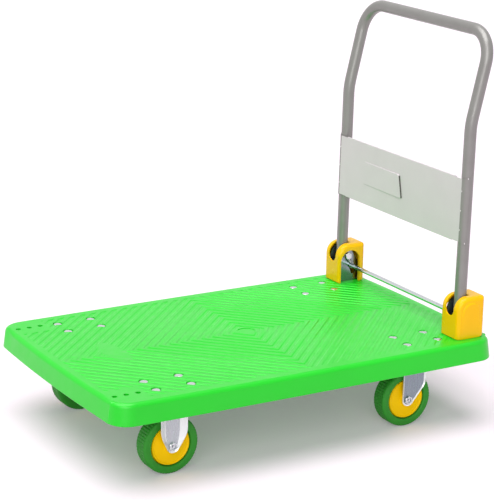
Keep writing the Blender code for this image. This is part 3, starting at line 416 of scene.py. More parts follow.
def round_ring(radius: float, z: float, sides: int = 36) -> Ring:
    """A level circle about Z."""
    return flat_ring([(radius * math.cos(math.tau * i / sides), radius * math.sin(math.tau * i / sides))
                      for i in range(sides)], z)


def hex_ring(across: float, limit: float, z: float, sides: int = 36) -> Ring:
    """A level hexagon about Z whose corners are turned off at a radius.

    Args:
        across: width across the flats.
        limit: radius that the corners are turned off at.
        z: height of the ring.
        sides: points round the ring, a multiple of six.

    Returns:
        The ring.
    """
    points: Plan = []
    for i in range(sides):
        a = math.tau * i / sides
        off = (a + math.pi / 6) % (math.pi / 3) - math.pi / 6
        reach = min(across / 2 / math.cos(off), limit)
        points.append((reach * math.cos(a), reach * math.sin(a)))
    return flat_ring(points, z)


def turned(profile: Sequence[tuple[float, float]], sides: int) -> Mesh:
    """A solid turned about Z from (radius, height) points that start and end on its end faces."""
    return loft([round_ring(max(radius, WELD / 10), z, sides) for radius, z in profile])


def turned_ring(profile: Sequence[tuple[float, float]], steps: int) -> Mesh:
    """A ring turned about Y from a closed section of (radius, offset) points."""
    rings = []
    for i in range(steps):
        a = math.tau * i / steps
        rings.append([Vector((r * math.cos(a), y, r * math.sin(a))) for r, y in profile])
    return loft(rings, looped=True)


def mirrored_section(half: Plan) -> Plan:
    """A section of (radius, offset) points and their mirror image, as one closed line."""
    return half + [(radius, -offset) for radius, offset in reversed(half)]


def tube_rings(line: Sequence[Vector], radius: float, sides: int) -> list[Ring]:
    """Circles square to a line, carried along it without a twist.

    Args:
        line: points along the middle of the tube.
        radius: the circles' radius.
        sides: points round each circle.

    Returns:
        One ring for each point.
    """
    heading = (line[1] - line[0]).normalized()
    across = heading.orthogonal().normalized()
    rings = []
    for i, point in enumerate(line):
        ahead = (line[min(i + 1, len(line) - 1)] - line[max(i - 1, 0)]).normalized()
        across = (heading.rotation_difference(ahead) @ across).normalized()
        heading = ahead
        other = heading.cross(across)
        turns = [math.tau * j / sides for j in range(sides)]
        rings.append([point + radius * (math.cos(a) * across + math.sin(a) * other) for a in turns])
    return rings


def peg(radius: float, start: Vector, end: Vector, sides: int = 36) -> Mesh:
    """A round peg between two points, mostly for drilling."""
    return loft(tube_rings([start, end], radius, sides))


def middle_of(node: str) -> Vector:
    """The centre of a CAD node's box."""
    low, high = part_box(node)
    return (low + high) / 2


UP = Vector((0.0, 0.0, 1.0))
Z_TO_Y = Matrix.Rotation(-math.pi / 2, 4, "X")  # a form made along +Z points along +Y
FLIP_Y = Matrix.Diagonal((1.0, -1.0, 1.0, 1.0))


class Dresser:
    """Turns meshes into finished pieces of the frame."""

    def __init__(self, finishes: dict[Look, Finish]) -> None:
        """Makes every finish once."""
        self.materials = {look: finish.build() for look, finish in finishes.items()}
        self.slots = {look: finish.slot for look, finish in finishes.items()}

    def form(self, name: str, mesh: Mesh, look: Look, nodes: Sequence[str] = ()) -> bpy.types.Object:
        """Links a mesh as a piece that stands for CAD nodes, but rides on nothing yet.

        Args:
            name: the piece's name.
            mesh: its mesh, in the frame's axes.
            look: its finish.
            nodes: the CAD nodes that it replaces.

        Returns:
            The piece.
        """
        mesh.materials.clear()
        mesh.materials.append(self.materials[look])
        mesh.shade_smooth()
        mesh.set_sharp_from_angle(angle=SHARP)
        piece = bpy.data.objects.new(name, mesh)
        bpy.context.scene.collection.objects.link(piece)
        even = piece.modifiers.new("even_shading", "WEIGHTED_NORMAL")
        even.keep_sharp = True
        if nodes:
            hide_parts(*nodes)
        LOG.info("%s: %d faces, %s", name, len(mesh.polygons), look.value)
        return piece

    def piece(self, name: str, mesh: Mesh, look: Look, body: str, nodes: Sequence[str] = ()) -> None:
        """Links a mesh as a piece that rides on a body, with form's other arguments."""
        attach(self.form(name, mesh, look, nodes), body)

    def keep(self, nodes: dict[str, bpy.types.Object], name: str, look: Look) -> None:
        """Gives a CAD node that stays its finish."""
        node = nodes[name]
        node.data.materials.clear()
        node.data.materials.append(self.materials[look])
        LOG.info("%s: kept, %s", name, look.value)


@dataclass
class Fasteners:
    """Bolts and nuts, made along Z with the underside of the head at zero."""

    bolt: float = 8.0 * MM
    head: float = 17.6 * MM
    head_height: float = 2.6 * MM
    nut_across: float = 13.0 * MM
    nut_height: float = 5.8 * MM
    thread_end: float = 2.0 * MM
    thread_pitch: float = 1.25 * MM
    sides: int = 36

    def thread(self, radius: float, top: float, bottom: float) -> list[Ring]:
        """Rings of a shank that end in a few thread turns, going down."""
        rings = []
        z = top
        step = self.thread_pitch / 2
        shallow = False
        while z > bottom + step:
            rings.append(round_ring(radius - (0.35 * MM if shallow else 0.0), z, self.sides))
            shallow = not shallow
            z -= step
        rings.append(round_ring(radius - 0.2 * MM, bottom + 0.6 * MM, self.sides))
        rings.append(round_ring(radius - 0.9 * MM, bottom, self.sides))
        return rings

    def nut_rings(self, across: float, top: float, bottom: float) -> list[Ring]:
        """Rings of a hexagon with both faces turned off, going down."""
        flat = across * 0.495
        corner = across * 0.6
        chamfer = across * 0.055
        return [hex_ring(across, flat, top, self.sides), hex_ring(across, corner, top - chamfer, self.sides),
                hex_ring(across, corner, bottom + chamfer, self.sides),
                hex_ring(across, flat, bottom, self.sides)]

    def dome_bolt(self, grip: float) -> Mesh:
        """A mushroom-head bolt with its nut done up.

        Args:
            grip: distance from under the head to the nut.

        Returns:
            The bolt along -Z.
        """
        radius, reach = self.head / 2, self.bolt / 2
        rim, turns = 0.7 * MM, [math.pi / 2 * i / 8 for i in range(9)]
        rings = [round_ring(radius * math.sin(a), rim + (self.head_height - rim) * math.cos(a) ** 0.5, self.sides)
                 for a in turns]
        rings[0] = round_ring(WELD / 10, self.head_height, self.sides)
        rings.append(round_ring(radius, 0.25 * MM, self.sides))
        rings.append(round_ring(radius - 0.25 * MM, 0.0, self.sides))
        rings.append(round_ring(reach, 0.0, self.sides))
        rings.append(round_ring(reach, -grip, self.sides))
        rings += self.nut_rings(self.nut_across, -grip, -grip - self.nut_height)
        rings += self.thread(reach, -grip - self.nut_height, -grip - self.nut_height - self.thread_end)
        return loft(rings)

    def hex_bolt(self, across: float, height: float, shank: float, length: float, dish: float) -> Mesh:
        """A hexagon bolt whose dished head stands on a turned washer face.

        Args:
            across: width of the head across its flats.
            height: height of the head.
            shank: diameter of the shank.
            length: from under the head to the shank's end.
            dish: depth of the ring round the middle of the head.

        Returns:
            The bolt along -Z.
        """
        flat = across * 0.47
        corner = across * 0.6
        face = 0.6 * MM
        rings = [round_ring(flat * 0.26, height - 0.1 * MM, self.sides),
                 round_ring(flat * 0.36, height - dish, self.sides),
                 round_ring(flat * 0.7, height - dish, self.sides),
                 round_ring(flat * 0.78, height, self.sides),
                 hex_ring(across, flat, height, self.sides),
                 hex_ring(across, corner, height - across * 0.06, self.sides),
                 hex_ring(across, corner, face, self.sides), hex_ring(across, flat, face, self.sides),
                 round_ring(flat, 0.0, self.sides), round_ring(shank / 2, 0.0, self.sides),
                 round_ring(shank / 2, -length * 0.75, self.sides)]
        rings += self.thread(shank / 2, -length * 0.75, -length)
        return loft(rings)

    def hex_nut(self, across: float, height: float, bore: float) -> Mesh:
        """A hexagon nut with its bore, from zero down."""
        outer = self.nut_rings(across, 0.0, -height)
        lead = 0.7 * MM
        places = [(bore / 2 + lead, -height), (bore / 2, lead - height), (bore / 2, -lead), (bore / 2 + lead, 0.0)]
        inner = [round_ring(radius, z, self.sides) for radius, z in places]
        return loft(outer + inner, looped=True)


@dataclass
class Deck:
    """The moulded deck, with its tread of nested diamonds, and the bolts through it."""

    corner_radius: float = 38.0 * MM
    edge_radius: float = 9.0 * MM
    draft: float = 5.5 * MM
    end_bow: float = 9.5 * MM
    side_bow: float = 4.0 * MM
    bow_steps: int = 14
    lip: float = 2.2 * MM
    lip_steps: tuple[tuple[float, float], ...] = ((0.0, 1.0), (0.14, 0.5), (0.5, 0.14), (1.0, 0.0))
    skirt_wall: float = 4.0 * MM
    skin: float = 5.5 * MM
    rib: float = 3.0 * MM
    rib_spacing: float = 85.0 * MM
    seat_recess: float = 10.0 * MM
    plate_length: float = 95.0 * MM
    plate_width: float = 70.9 * MM
    plate_room: float = 1.0 * MM
    kingpin_relief: tuple[float, float] = (12.0 * MM, 6.0 * MM)
    caster: tuple[float, float] = (291.5 * MM, 198.5 * MM)
    bolt_pitch: tuple[float, float] = (76.4 * MM, 52.3 * MM)
    bolt_hole: float = 8.8 * MM
    hinge_hole: float = 11.0 * MM
    counterbore: float = 20.0 * MM
    head_sink: float = 0.9 * MM
    hinge_holes: tuple[float, float, float] = (418.8 * MM, 394.0 * MM, 369.2 * MM)
    hinge_y: float = 226.2 * MM
    bracket_sheet: float = 3.0 * MM
    tread_pitch: float = 17.6 * MM
    tread_depth: float = 1.5 * MM
    tread_fade: float = 3.0 * MM
    tread_steps: tuple[tuple[float, float], ...] = ((3.0 * MM, 0.0), (4.2 * MM, 0.22), (5.4 * MM, 0.8),
                                                    (6.4 * MM, 1.0))
    tread_half: tuple[float, float] = (424.0 * MM, 256.0 * MM)
    pad_corner: tuple[float, float] = (356.0 * MM, 192.0 * MM)
    roundel: float = 37.7 * MM
    patch_centre: tuple[float, float] = (-306.0 * MM, 6.0 * MM)
    patch_half: tuple[float, float] = (29.0 * MM, 67.0 * MM)

    def __post_init__(self) -> None:
        """Takes the deck's box from the frame."""
        self.low, self.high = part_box("deck")

    @property
    def top(self) -> float:
        """Height of the deck's top."""
        return self.high.z

    def block(self, inset: float, top: float, corner_steps: int, edge_steps: int) -> bmesh.types.BMesh:
        """The drafted outer form with its bowed walls, drawn in by an inset.

        Args:
            inset: how far the form is drawn in.
            top: height of its top.
            corner_steps: facets round each corner.
            edge_steps: facets round the top edge.

        Returns:
            The form as a bmesh.
        """
        floor = self.low.z - inset
        size = Vector((self.high.x - self.low.x - 2 * inset, self.high.y - self.low.y - 2 * inset, top - floor))
        centre = Vector((0.0, 0.0, (floor + top) / 2))
        bm = bmesh.new()
        bmesh.ops.create_cube(bm, size=1.0, matrix=Matrix.Translation(centre) @ Matrix.Diagonal((*size, 1.0)))
        corners = set(bm.verts)
        for axis in (0, 1):
            way = Vector((1 - axis, axis, 0.0))
            for i in range(1, self.bow_steps):
                walls = [f for f in bm.faces if abs(f.normal.z) < 0.5 and abs(f.normal.dot(way)) < 0.5]
                self.split(bm, walls, way, size[axis] * (i / self.bow_steps - 0.5))
        for spot in bm.verts:
            along, across = 2 * spot.co.x / size.x, 2 * spot.co.y / size.y
            draft = self.draft if spot.co.z > centre.z else 0.0
            if abs(along) > 1.0 - WELD:
                spot.co.x -= math.copysign(self.end_bow * across ** 2 + draft, along)
            if abs(across) > 1.0 - WELD:
                spot.co.y -= math.copysign(self.side_bow * along ** 2 + draft, across)
        upright = [e for e in bm.edges if corners.issuperset(e.verts)
                   and abs(e.verts[0].co.z - e.verts[1].co.z) > size.z / 2]
        bmesh.ops.bevel(bm, geom=upright, offset=self.corner_radius - inset, segments=corner_steps,
                        profile=0.5, affect="EDGES")
        rim = [e for e in bm.edges if min(v.co.z for v in e.verts) > top - WELD]
        bmesh.ops.bevel(bm, geom=rim, offset=max(self.edge_radius - inset, self.lip), segments=edge_steps,
                        profile=0.5, affect="EDGES")
        bmesh.ops.dissolve_degenerate(bm, edges=bm.edges, dist=SLIVER)
        return bm

    def split(self, bm: bmesh.types.BMesh, faces: list[bmesh.types.BMFace], normal: Vector,
              level: float) -> list[bmesh.types.BMFace]:
        """Cuts faces along a plane and gives all the faces that they became."""
        geom: set[Any] = set(faces)
        for face in faces:
            geom.update(face.edges)
            geom.update(face.verts)
        done = bmesh.ops.bisect_plane(bm, geom=list(geom), dist=WELD, plane_co=normal * level, plane_no=normal)
        return [item for item in done["geom"] if isinstance(item, bmesh.types.BMFace)]

    def tread_room(self, x: float, y: float) -> float:
        """Distance from a point inside the tread to the tread's edge, below zero outside."""
        half_x, half_y = self.tread_half
        pad_x, pad_y = self.pad_corner
        ax, ay = abs(x), abs(y)
        aside = math.hypot(max(pad_x - ax, 0.0), max(pad_y - ay, 0.0))
        if aside == 0.0:
            return -1.0
        return min(half_x - ax, half_y - ay, aside)

    def tread_fall(self, x: float, y: float) -> float:
        """How far the tread lies below the deck's top at a point."""
        across = (abs(x) + abs(y)) / math.sqrt(2)
        off = abs((across + self.tread_pitch / 2) % self.tread_pitch - self.tread_pitch / 2)
        fall = 0.0
        for (near, low), (far, high) in zip(self.tread_steps, self.tread_steps[1:]):
            if off > near:
                fall = low + (high - low) * min((off - near) / (far - near), 1.0)
        fade = min(max(self.tread_room(x, y) / self.tread_fade, 0.0), 1.0)
        return self.tread_depth * fall * fade

    def press_tread(self, bm: bmesh.types.BMesh) -> None:
        """Sinks the valleys between the nested diamond ribs into the top face."""
        half_x, half_y = self.tread_half
        pad_x, pad_y = self.pad_corner
        along, across = Vector((1.0, 0.0, 0.0)), Vector((0.0, 1.0, 0.0))
        faces = [f for f in bm.faces if f.normal.z > 0.9999 and f.calc_center_median().z > self.top - WELD]
        for normal, levels in ((along, (half_x, pad_x)), (across, (half_y, pad_y))):
            for level in levels:
                for way in (-1.0, 1.0):
                    faces = self.split(bm, faces, normal * way, level)
            faces = self.split(bm, faces, normal, 0.0)
        spots = [(f, f.calc_center_median()) for f in faces]
        faces = [f for f, c in spots if self.tread_room(c.x, c.y) > 0.0]
        fade = self.tread_fade
        for normal, levels in ((along, (half_x - fade, pad_x - fade)), (across, (half_y - fade, pad_y - fade))):
            for level in levels:
                for way in (-1.0, 1.0):
                    faces = self.split(bm, faces, normal * way, level)
        reach = (half_x + half_y) / math.sqrt(2)
        count = int(reach / self.tread_pitch) + 1
        offsets = sorted(way * near for near, _ in self.tread_steps for way in (-1.0, 1.0))
        levels = [k * self.tread_pitch + off for k in range(count + 1) for off in offsets]
        touched: set[Any] = set()
        for way_x in (-1.0, 1.0):
            for way_y in (-1.0, 1.0):
                normal = Vector((way_x, way_y, 0.0)).normalized()
                quarter = [f for f in faces if f.calc_center_median().x * way_x > 0.0
                           and f.calc_center_median().y * way_y > 0.0]
                for level in levels:
                    if level <= 0.0 or level >= reach or not quarter:
                        continue
                    pieces = self.split(bm, quarter, normal, level)
                    for face in pieces:
                        touched.update(face.verts)
                    quarter = [f for f in pieces if f.calc_center_median().dot(normal) > level]
        for spot in touched:
            spot.co.z -= self.tread_fall(spot.co.x, spot.co.y)

    def round_lip(self, bm: bmesh.types.BMesh) -> None:
        """Rounds the skirt's lower edge."""
        bm.normal_update()
        foot = self.low.z
        walls = [f for f in bm.faces if abs(f.normal.z) < 0.5 and min(v.co.z for v in f.verts) < foot + WELD]
        for height, _ in self.lip_steps[1:]:
            walls = self.split(bm, walls, UP, foot + self.lip * height)
        bm.normal_update()
        ways = {v: v.normal.to_2d().normalized() for v in bm.verts if v.co.z < foot + self.lip - WELD}
        for spot, way in ways.items():
            height = (spot.co.z - foot) / self.lip
            share = min(self.lip_steps, key=lambda step: abs(step[0] - height))[1]
            spot.co.x -= self.lip * share * way.x
            spot.co.y -= self.lip * share * way.y

    def rib_lines(self, half: float, caster: float, pad: float) -> list[float]:
        """Places of the ribs along one axis: round each caster pad, and spread evenly between the pads."""
        low, high = caster - pad, caster + pad
        count = max(1, round(2 * low / self.rib_spacing))
        inner = [-low + 2 * low * i / count for i in range(count + 1)]
        return [-half - self.draft, -high, *inner, high, half + self.draft]

    def pockets(self) -> Mesh:
        """The hollows between the ribs, in every cell that isn't a caster pad."""
        pad_x = self.plate_length / 2 + self.plate_room + self.rib
        pad_y = self.plate_width / 2 + self.plate_room + self.rib
        along = self.rib_lines(self.high.x, self.caster[0], pad_x)
        across = self.rib_lines(self.high.y, self.caster[1], pad_y)
        deep, tall = self.low.z - 0.04, self.high.z
        bm = bmesh.new()
        for x0, x1 in zip(along, along[1:]):
            for y0, y1 in zip(across, across[1:]):
                x, y = (x0 + x1) / 2, (y0 + y1) / 2
                if abs(abs(x) - self.caster[0]) < pad_x / 2 and abs(abs(y) - self.caster[1]) < pad_y / 2:
                    continue
                size = (x1 - x0 - self.rib, y1 - y0 - self.rib, tall - deep, 1.0)
                place = Matrix.Translation((x, y, (deep + tall) / 2)) @ Matrix.Diagonal(size)
                bmesh.ops.create_cube(bm, size=1.0, matrix=place)
        inside = mesh_from(self.block(self.skirt_wall, self.top - self.skin, 10, 1))
        return combined(mesh_from(bm), inside, Way.KEEP)

    def caster_places(self) -> list[tuple[End, Side, Vector]]:
        """Each caster's end, side and place under the deck."""
        return [(end, side, Vector((end.value * self.caster[0], side.value * self.caster[1], 0.0)))
                for end in End for side in Side]

    def bolt_places(self) -> list[Vector]:
        """The bolts of a caster from its centre, in the CAD's order."""
        return [Vector((i * self.bolt_pitch[0] / 2, j * self.bolt_pitch[1] / 2, 0.0))
                for i in (-1, 1) for j in (-1, 1)]

    def holes(self, places: Iterable[Vector], radius: float, low: float, high: float) -> Mesh:
        """Upright round cutters at places."""
        return gathered(peg(radius, p + low * UP, p + high * UP) for p in places)

    def pad(self, centre: tuple[float, float], half: tuple[float, float], low: float, high: float,
            slope: tuple[float, float] = (0.35 * MM, 0.3 * MM)) -> Mesh:
        """An oval pad whose upper edge slopes down.

        Args:
            centre: the oval's middle.
            half: its half lengths along X and Y.
            low: height of its underside.
            high: height of its top.
            slope: run and fall of the edge.

        Returns:
            The pad.
        """
        def ring(inset: float, z: float) -> Ring:
            turns = [math.tau * i / 64 for i in range(64)]
            return flat_ring([(centre[0] + (half[0] - inset) * math.cos(a),
                               centre[1] + (half[1] - inset) * math.sin(a)) for a in turns], z)

        run, fall = slope
        return loft([ring(0.0, low), ring(0.0, high - fall), ring(run, high)])

    def mesh(self, head_height: float) -> Mesh:
        """The whole moulding, with counterbores for bolt heads of a height."""
        bm = self.block(0.0, self.top, 14, 6)
        self.round_lip(bm)
        bmesh.ops.recalc_face_normals(bm, faces=bm.faces)
        self.press_tread(bm)
        deck = mesh_from(bm)
        proud, sunk = self.top + 0.12 * MM, self.top - 3.0 * MM
        patch = self.pad(self.patch_centre, self.patch_half, sunk, self.top - 0.03 * MM, (7.0 * MM, 1.6 * MM))
        deck = combined(deck, patch, Way.JOIN)
        half = self.roundel / 2
        deck = combined(deck, self.pad((0.0, 0.0), (half + 1.6 * MM, half + 1.6 * MM), sunk, proud), Way.JOIN)
        dish = peg(half, Vector((0, 0, self.top - 0.9 * MM)), Vector((0, 0, self.top + 5 * MM)), 64)
        deck = combined(deck, dish, Way.CUT)
        deck = combined(deck, self.pockets(), Way.CUT)
        spots = [place for _, _, place in self.caster_places()]
        recess = (self.plate_length + 2 * self.plate_room, self.plate_width + 2 * self.plate_room)
        seat = rounded_plan(*recess, 6.0 * MM)
        seat_top = self.low.z + self.seat_recess
        seats = [loft([[p + spot for p in flat_ring(seat, z)] for z in (self.low.z - 0.01, seat_top)])
                 for spot in spots]
        deck = combined(deck, gathered(seats), Way.CUT)
        relief, rise = self.kingpin_relief
        deck = combined(deck, self.holes(spots, relief, self.low.z, seat_top + rise), Way.CUT)
        bolts = [spot + bolt for spot in spots for bolt in self.bolt_places()]
        hinge = [Vector((way * x, side.value * self.hinge_y, 0.0))
                 for way in (-1, 1) for x in self.hinge_holes for side in Side]
        beyond = self.top + 0.02
        drills = [self.holes(bolts, self.bolt_hole / 2, self.low.z, beyond),
                  self.holes(hinge, self.hinge_hole / 2, self.low.z, beyond)]
        deck = combined(deck, gathered(drills), Way.CUT)
        sink = self.top - self.head_sink - head_height - 0.3 * MM
        return combined(deck, self.holes(bolts, self.counterbore / 2, sink, beyond), Way.CUT)

    def build(self, dresser: Dresser, fasteners: Fasteners) -> None:
        """Adds the deck and its bolts."""
        dresser.piece("deck_moulding", self.mesh(fasteners.head_height), Look.DECK, "root", ["deck"])
        head_z = self.top - self.head_sink - fasteners.head_height
        low = self.low.z + self.seat_recess - 3.0 * MM
        for end, side, place in self.caster_places():
            for number, bolt in enumerate(self.bolt_places(), start=1):
                node = f"caster_bolt_{end.tag}_{side.tag}_{number}"
                mesh = moved(fasteners.dome_bolt(head_z - low), Matrix.Translation(place + bolt + head_z * UP))
                dresser.piece(f"deck_bolt_{end.tag}_{side.tag}_{number}", mesh, Look.FASTENER, "root", [node])
        head_z = self.top + self.bracket_sheet + 0.6 * MM
        grip = self.bracket_sheet + self.skin + 0.9 * MM
        for side in Side:
            for number, x in enumerate(self.hinge_holes[1:], start=1):
                place = Vector((x, side.value * self.hinge_y, head_z))
                mesh = moved(fasteners.dome_bolt(grip), Matrix.Translation(place))
                dresser.piece(f"hinge_bolt_{side.tag}_{number}", mesh, Look.FASTENER, "root",
                              [f"bracket_bolt_{side.tag}_{number}"])


@dataclass
class Hinge:
    """One folding hinge: its cover, pivot bolt and release spring, made for the left side and mirrored."""

    wall: float = 2.5 * MM
    roll: float = 28.0 * MM
    back_roll: float = 6.0 * MM
    edge: float = 9.5 * MM
    foot: float = 2.0 * MM
    arch_radius: float = 25.0 * MM
    arch_shift: float = 5.0 * MM
    arch_drop: float = 12.0 * MM
    collar: float = 5.0 * MM
    relief_radius: float = 25.2 * MM
    relief_shift: float = 9.0 * MM
    relief_drop: float = 7.6 * MM
    relief: float = 3.4 * MM
    relief_foot: float = 0.03
    slot_half: float = 14.2 * MM
    bolt: float = 10.0 * MM
    bolt_head: float = 15.0 * MM
    bolt_head_height: float = 5.6 * MM
    spring_wire: float = 1.4 * MM
    spring_coil: float = 6.4 * MM
    spring_gap: float = 0.55 * MM
    spring_lead: float = 2.5 * MM
    curl_points: int = 20

    def __post_init__(self) -> None:
        """Takes the pivot's place, the cover's reach and what hangs on the pivot from the frame."""
        pivot, rod = middle_of("pivot_bolt_left"), middle_of("release_rod")
        self.x, self.y, self.z = pivot.x, -middle_of("bracket_bolt_left_1").y, pivot.z
        low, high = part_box("hinge_cover_left")
        self.front, self.rear, self.half = self.x - low.x, high.x - self.x, high.y + self.y
        self.headroom, self.height = high.z - self.z, self.z - low.z
        low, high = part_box("pivot_bolt_left")
        self.bolt_seat, self.bolt_end = high.y + self.y - self.bolt_head_height, -low.y - self.y
        self.rod_offset = Vector((rod.x - self.x, 0.0, rod.z - self.z))
        self.spring_offset = middle_of("release_spring_left").y + self.y

    def at(self, side: Side) -> Matrix:
        """The matrix from the left hinge's own axes, about its pivot, to a side's place."""
        place = Matrix.Translation((self.x, side.value * self.y, self.z))
        return place if side is Side.LEFT else place @ FLIP_Y

    def outline(self, inset: float, low: float) -> Plan:
        """The cover from the side: upright walls, a rolled front edge and a tighter rear one."""
        front, rear, top = -self.front + inset, self.rear - inset, self.headroom - inset
        roll, back = self.roll - inset, max(self.back_roll - inset, 1.0 * MM)
        return [(front, low), (rear, low), *arc((rear - back, top - back), back, 0.0, math.pi / 2, 6),
                *arc((front + roll, top - roll), roll, math.pi / 2, math.pi, 16)]

    def arch(self, radius: float, shift: float, drop: float, low: float) -> Plan:
        """An arch from the side, down to a height."""
        return [(shift - radius, low), (shift + radius, low), *arc((shift, -drop), radius, 0.0, math.pi, 32)]

    def block(self, inset: float, low: float) -> Mesh:
        """The cover as a solid with round upright edges, drawn in all round by an inset."""
        soft = self.edge - inset
        turns = [math.pi / 2 * i / 6 for i in range(7)]
        rise = [(self.half - inset - soft * (1 - math.sin(a)), inset + soft * (1 - math.cos(a))) for a in turns]
        rings = [side_ring(self.outline(pull, low), -y) for y, pull in reversed(rise)]
        return loft(rings + [side_ring(self.outline(pull, low), y) for y, pull in rise])

    def foot_groove(self) -> Mesh:
        """A frame that cuts a fine step round the cover's foot."""
        long, wide = self.front + self.rear, 2 * self.half
        middle, low, high = (self.rear - self.front) / 2, -self.height - self.foot, -self.height + self.foot
        grooves = [rounded_plan(long + grow, wide + grow, max(self.edge + grow / 2, 1.0 * MM))
                   for grow in (-2 * self.foot, 10 * self.foot)]
        inner, outer = ([(x + middle, y) for x, y in plan] for plan in grooves)
        return loft([flat_ring(inner, low), flat_ring(inner, high), flat_ring(outer, high), flat_ring(outer, low)],
                    looped=True)

    def swell(self) -> Mesh:
        """The raised arch on the outer side, which dies out towards the foot."""
        floor, top = -self.height, self.relief_radius - self.relief_drop
        steps = [(0.0, -0.1), (0.06, 0.3), (0.12, 0.66), (0.2, 0.9), (0.3, 1.0)]
        rings = [side_ring(self.arch(self.relief_radius, self.relief_shift, self.relief_drop, floor),
                           -self.half + self.wall / 2)]
        for inset, share in steps:
            plan = self.arch(self.relief_radius * (1 - inset), self.relief_shift, self.relief_drop, floor)
            heights = [self.relief_foot + (1 - self.relief_foot) * (z - floor) / (top - floor) for _, z in plan]
            rings.append([Vector((x, -self.half - self.relief * (share * height - 0.12), z))
                          for (x, z), height in zip(plan, heights)])
        return loft(rings)

    def cover(self) -> Mesh:
        """The moulded cover: rolled edges, a raised arch outside, an open arch inside and the tube's slot."""
        cover = combined(self.block(0.0, -self.height), self.foot_groove(), Way.CUT)
        cover = combined(cover, self.swell(), Way.JOIN)
        below = -self.height - self.wall
        room = self.half - self.wall
        cover = combined(cover, self.block(self.wall, below), Way.CUT)
        plan = self.arch(self.arch_radius + self.wall, self.arch_shift, self.arch_drop, -self.height)
        collar = loft([side_ring(plan, y) for y in (room - self.collar, room + self.wall / 2)])
        cover = combined(cover, collar, Way.JOIN)
        plan = self.arch(self.arch_radius, self.arch_shift, self.arch_drop, below)
        gate = loft([side_ring(plan, y) for y in (room - 2 * self.collar, self.half + self.wall)])
        cover = combined(cover, gate, Way.CUT)
        half = self.slot_half
        plan = [(half, 2 * self.headroom), (-half, 2 * self.headroom),
                *arc((0.0, 0.0), half, math.pi, math.tau, 24)]
        slot = loft([end_ring(plan, x) for x in (-self.front - half, half)])
        cover = combined(cover, slot, Way.CUT)
        return modified(cover, "BEVEL", width=0.7 * MM, segments=2, limit_method="ANGLE",
                        angle_limit=math.radians(50.0), use_clamp_overlap=True)

    def pivot_bolt(self, fasteners: Fasteners) -> Mesh:
        """The hexagon bolt that the handle turns on, with its head to the middle of the trolley."""
        length = self.bolt_seat + self.bolt_end
        bolt = fasteners.hex_bolt(self.bolt_head, self.bolt_head_height, self.bolt, length, 0.4 * MM)
        return moved(bolt, Matrix.Translation((0.0, self.bolt_seat, 0.0)) @ Z_TO_Y)

    def hook(self, radius: float, heading: Vector, way: float) -> list[Vector]:
        """Points of a spring's end loop about the origin, from its free end to the side facing the coil."""
        across = Vector((-heading.z, 0.0, heading.x)) * way
        turns = [math.radians(200.0) * (1 - i / 18) for i in range(19)]
        return [radius * (math.cos(a) * across - math.sin(a) * heading) for a in turns]

    def spring_line(self) -> list[Vector]:
        """The release spring's wire about the pivot: loop on the bolt, coil and loop on the rod."""
        heading = self.rod_offset.normalized()
        across = Vector((-heading.z, 0.0, heading.x))
        wide = Vector((0.0, 1.0, 0.0))
        coil = self.spring_coil / 2
        loop = self.bolt / 2 + 0.3 * MM + self.spring_wire / 2
        pitch = self.spring_wire + self.spring_gap
        reach = self.rod_offset.length
        first, last = loop + self.spring_lead, reach - loop - self.spring_lead
        curls = max(1, math.floor((last - first) / pitch))
        middle = (first + last) / 2
        points = self.hook(loop, heading, 1.0)
        points.append(loop * across + self.spring_lead * heading)
        steps = curls * self.curl_points
        quarter = self.curl_points / 4
        for i in range(steps + 1):
            turn = math.tau * i / self.curl_points
            place = middle + pitch * (i / self.curl_points - curls / 2)
            lead_in, lead_out = max(0.0, 1.0 - i / quarter), max(0.0, 1.0 - (steps - i) / quarter)
            place += self.spring_lead * (lead_out ** 2 - lead_in ** 2)
            points.append(place * heading + coil * (math.cos(turn) * across + math.sin(turn) * wide))
        points.append(loop * across + (reach - self.spring_lead) * heading)
        far = [self.rod_offset + point for point in self.hook(loop, -heading, -1.0)]
        return [point + self.spring_offset * wide for point in points + far[::-1]]

    def build(self, dresser: Dresser, fasteners: Fasteners, nodes: dict[str, bpy.types.Object]) -> None:
        """Adds both hinges."""
        cover = self.cover()
        wire = loft(tube_rings(self.spring_line(), self.spring_wire / 2, 12))
        bolt = self.pivot_bolt(fasteners)
        for side in Side:
            place = self.at(side)
            dresser.piece(f"hinge_shroud_{side.tag}", moved(cover, place), Look.COVER, "root",
                          [f"hinge_cover_{side.tag}"])
            dresser.piece(f"hinge_pin_{side.tag}", moved(bolt, place), Look.FASTENER, "root",
                          [f"pivot_bolt_{side.tag}"])
            dresser.keep(nodes, f"hinge_bracket_{side.tag}", Look.FOLDED)
            spring = dresser.form(f"return_spring_{side.tag}", moved(wire, place), Look.SPRING,
                                  [f"release_spring_{side.tag}"])
            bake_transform(spring)


@dataclass
class ReleaseRod:
    """The round bar that is pressed with the foot."""

    chamfer: float = 1.0 * MM
    sides: int = 40

    def build(self, dresser: Dresser) -> None:
        """Adds the rod along its CAD node's box."""
        low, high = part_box("release_rod")
        radius, half = (high.z - low.z) / 2, (high.y - low.y) / 2
        rod = turned([(0.0, half), (radius - self.chamfer, half), (radius, half - self.chamfer),
                      (radius, -half + self.chamfer), (radius - self.chamfer, -half), (0.0, -half)], self.sides)
        rod = moved(rod, Matrix.Translation((low + high) / 2) @ Z_TO_Y)
        dresser.piece("foot_rod", rod, Look.BAR, "release", ["release_rod"])


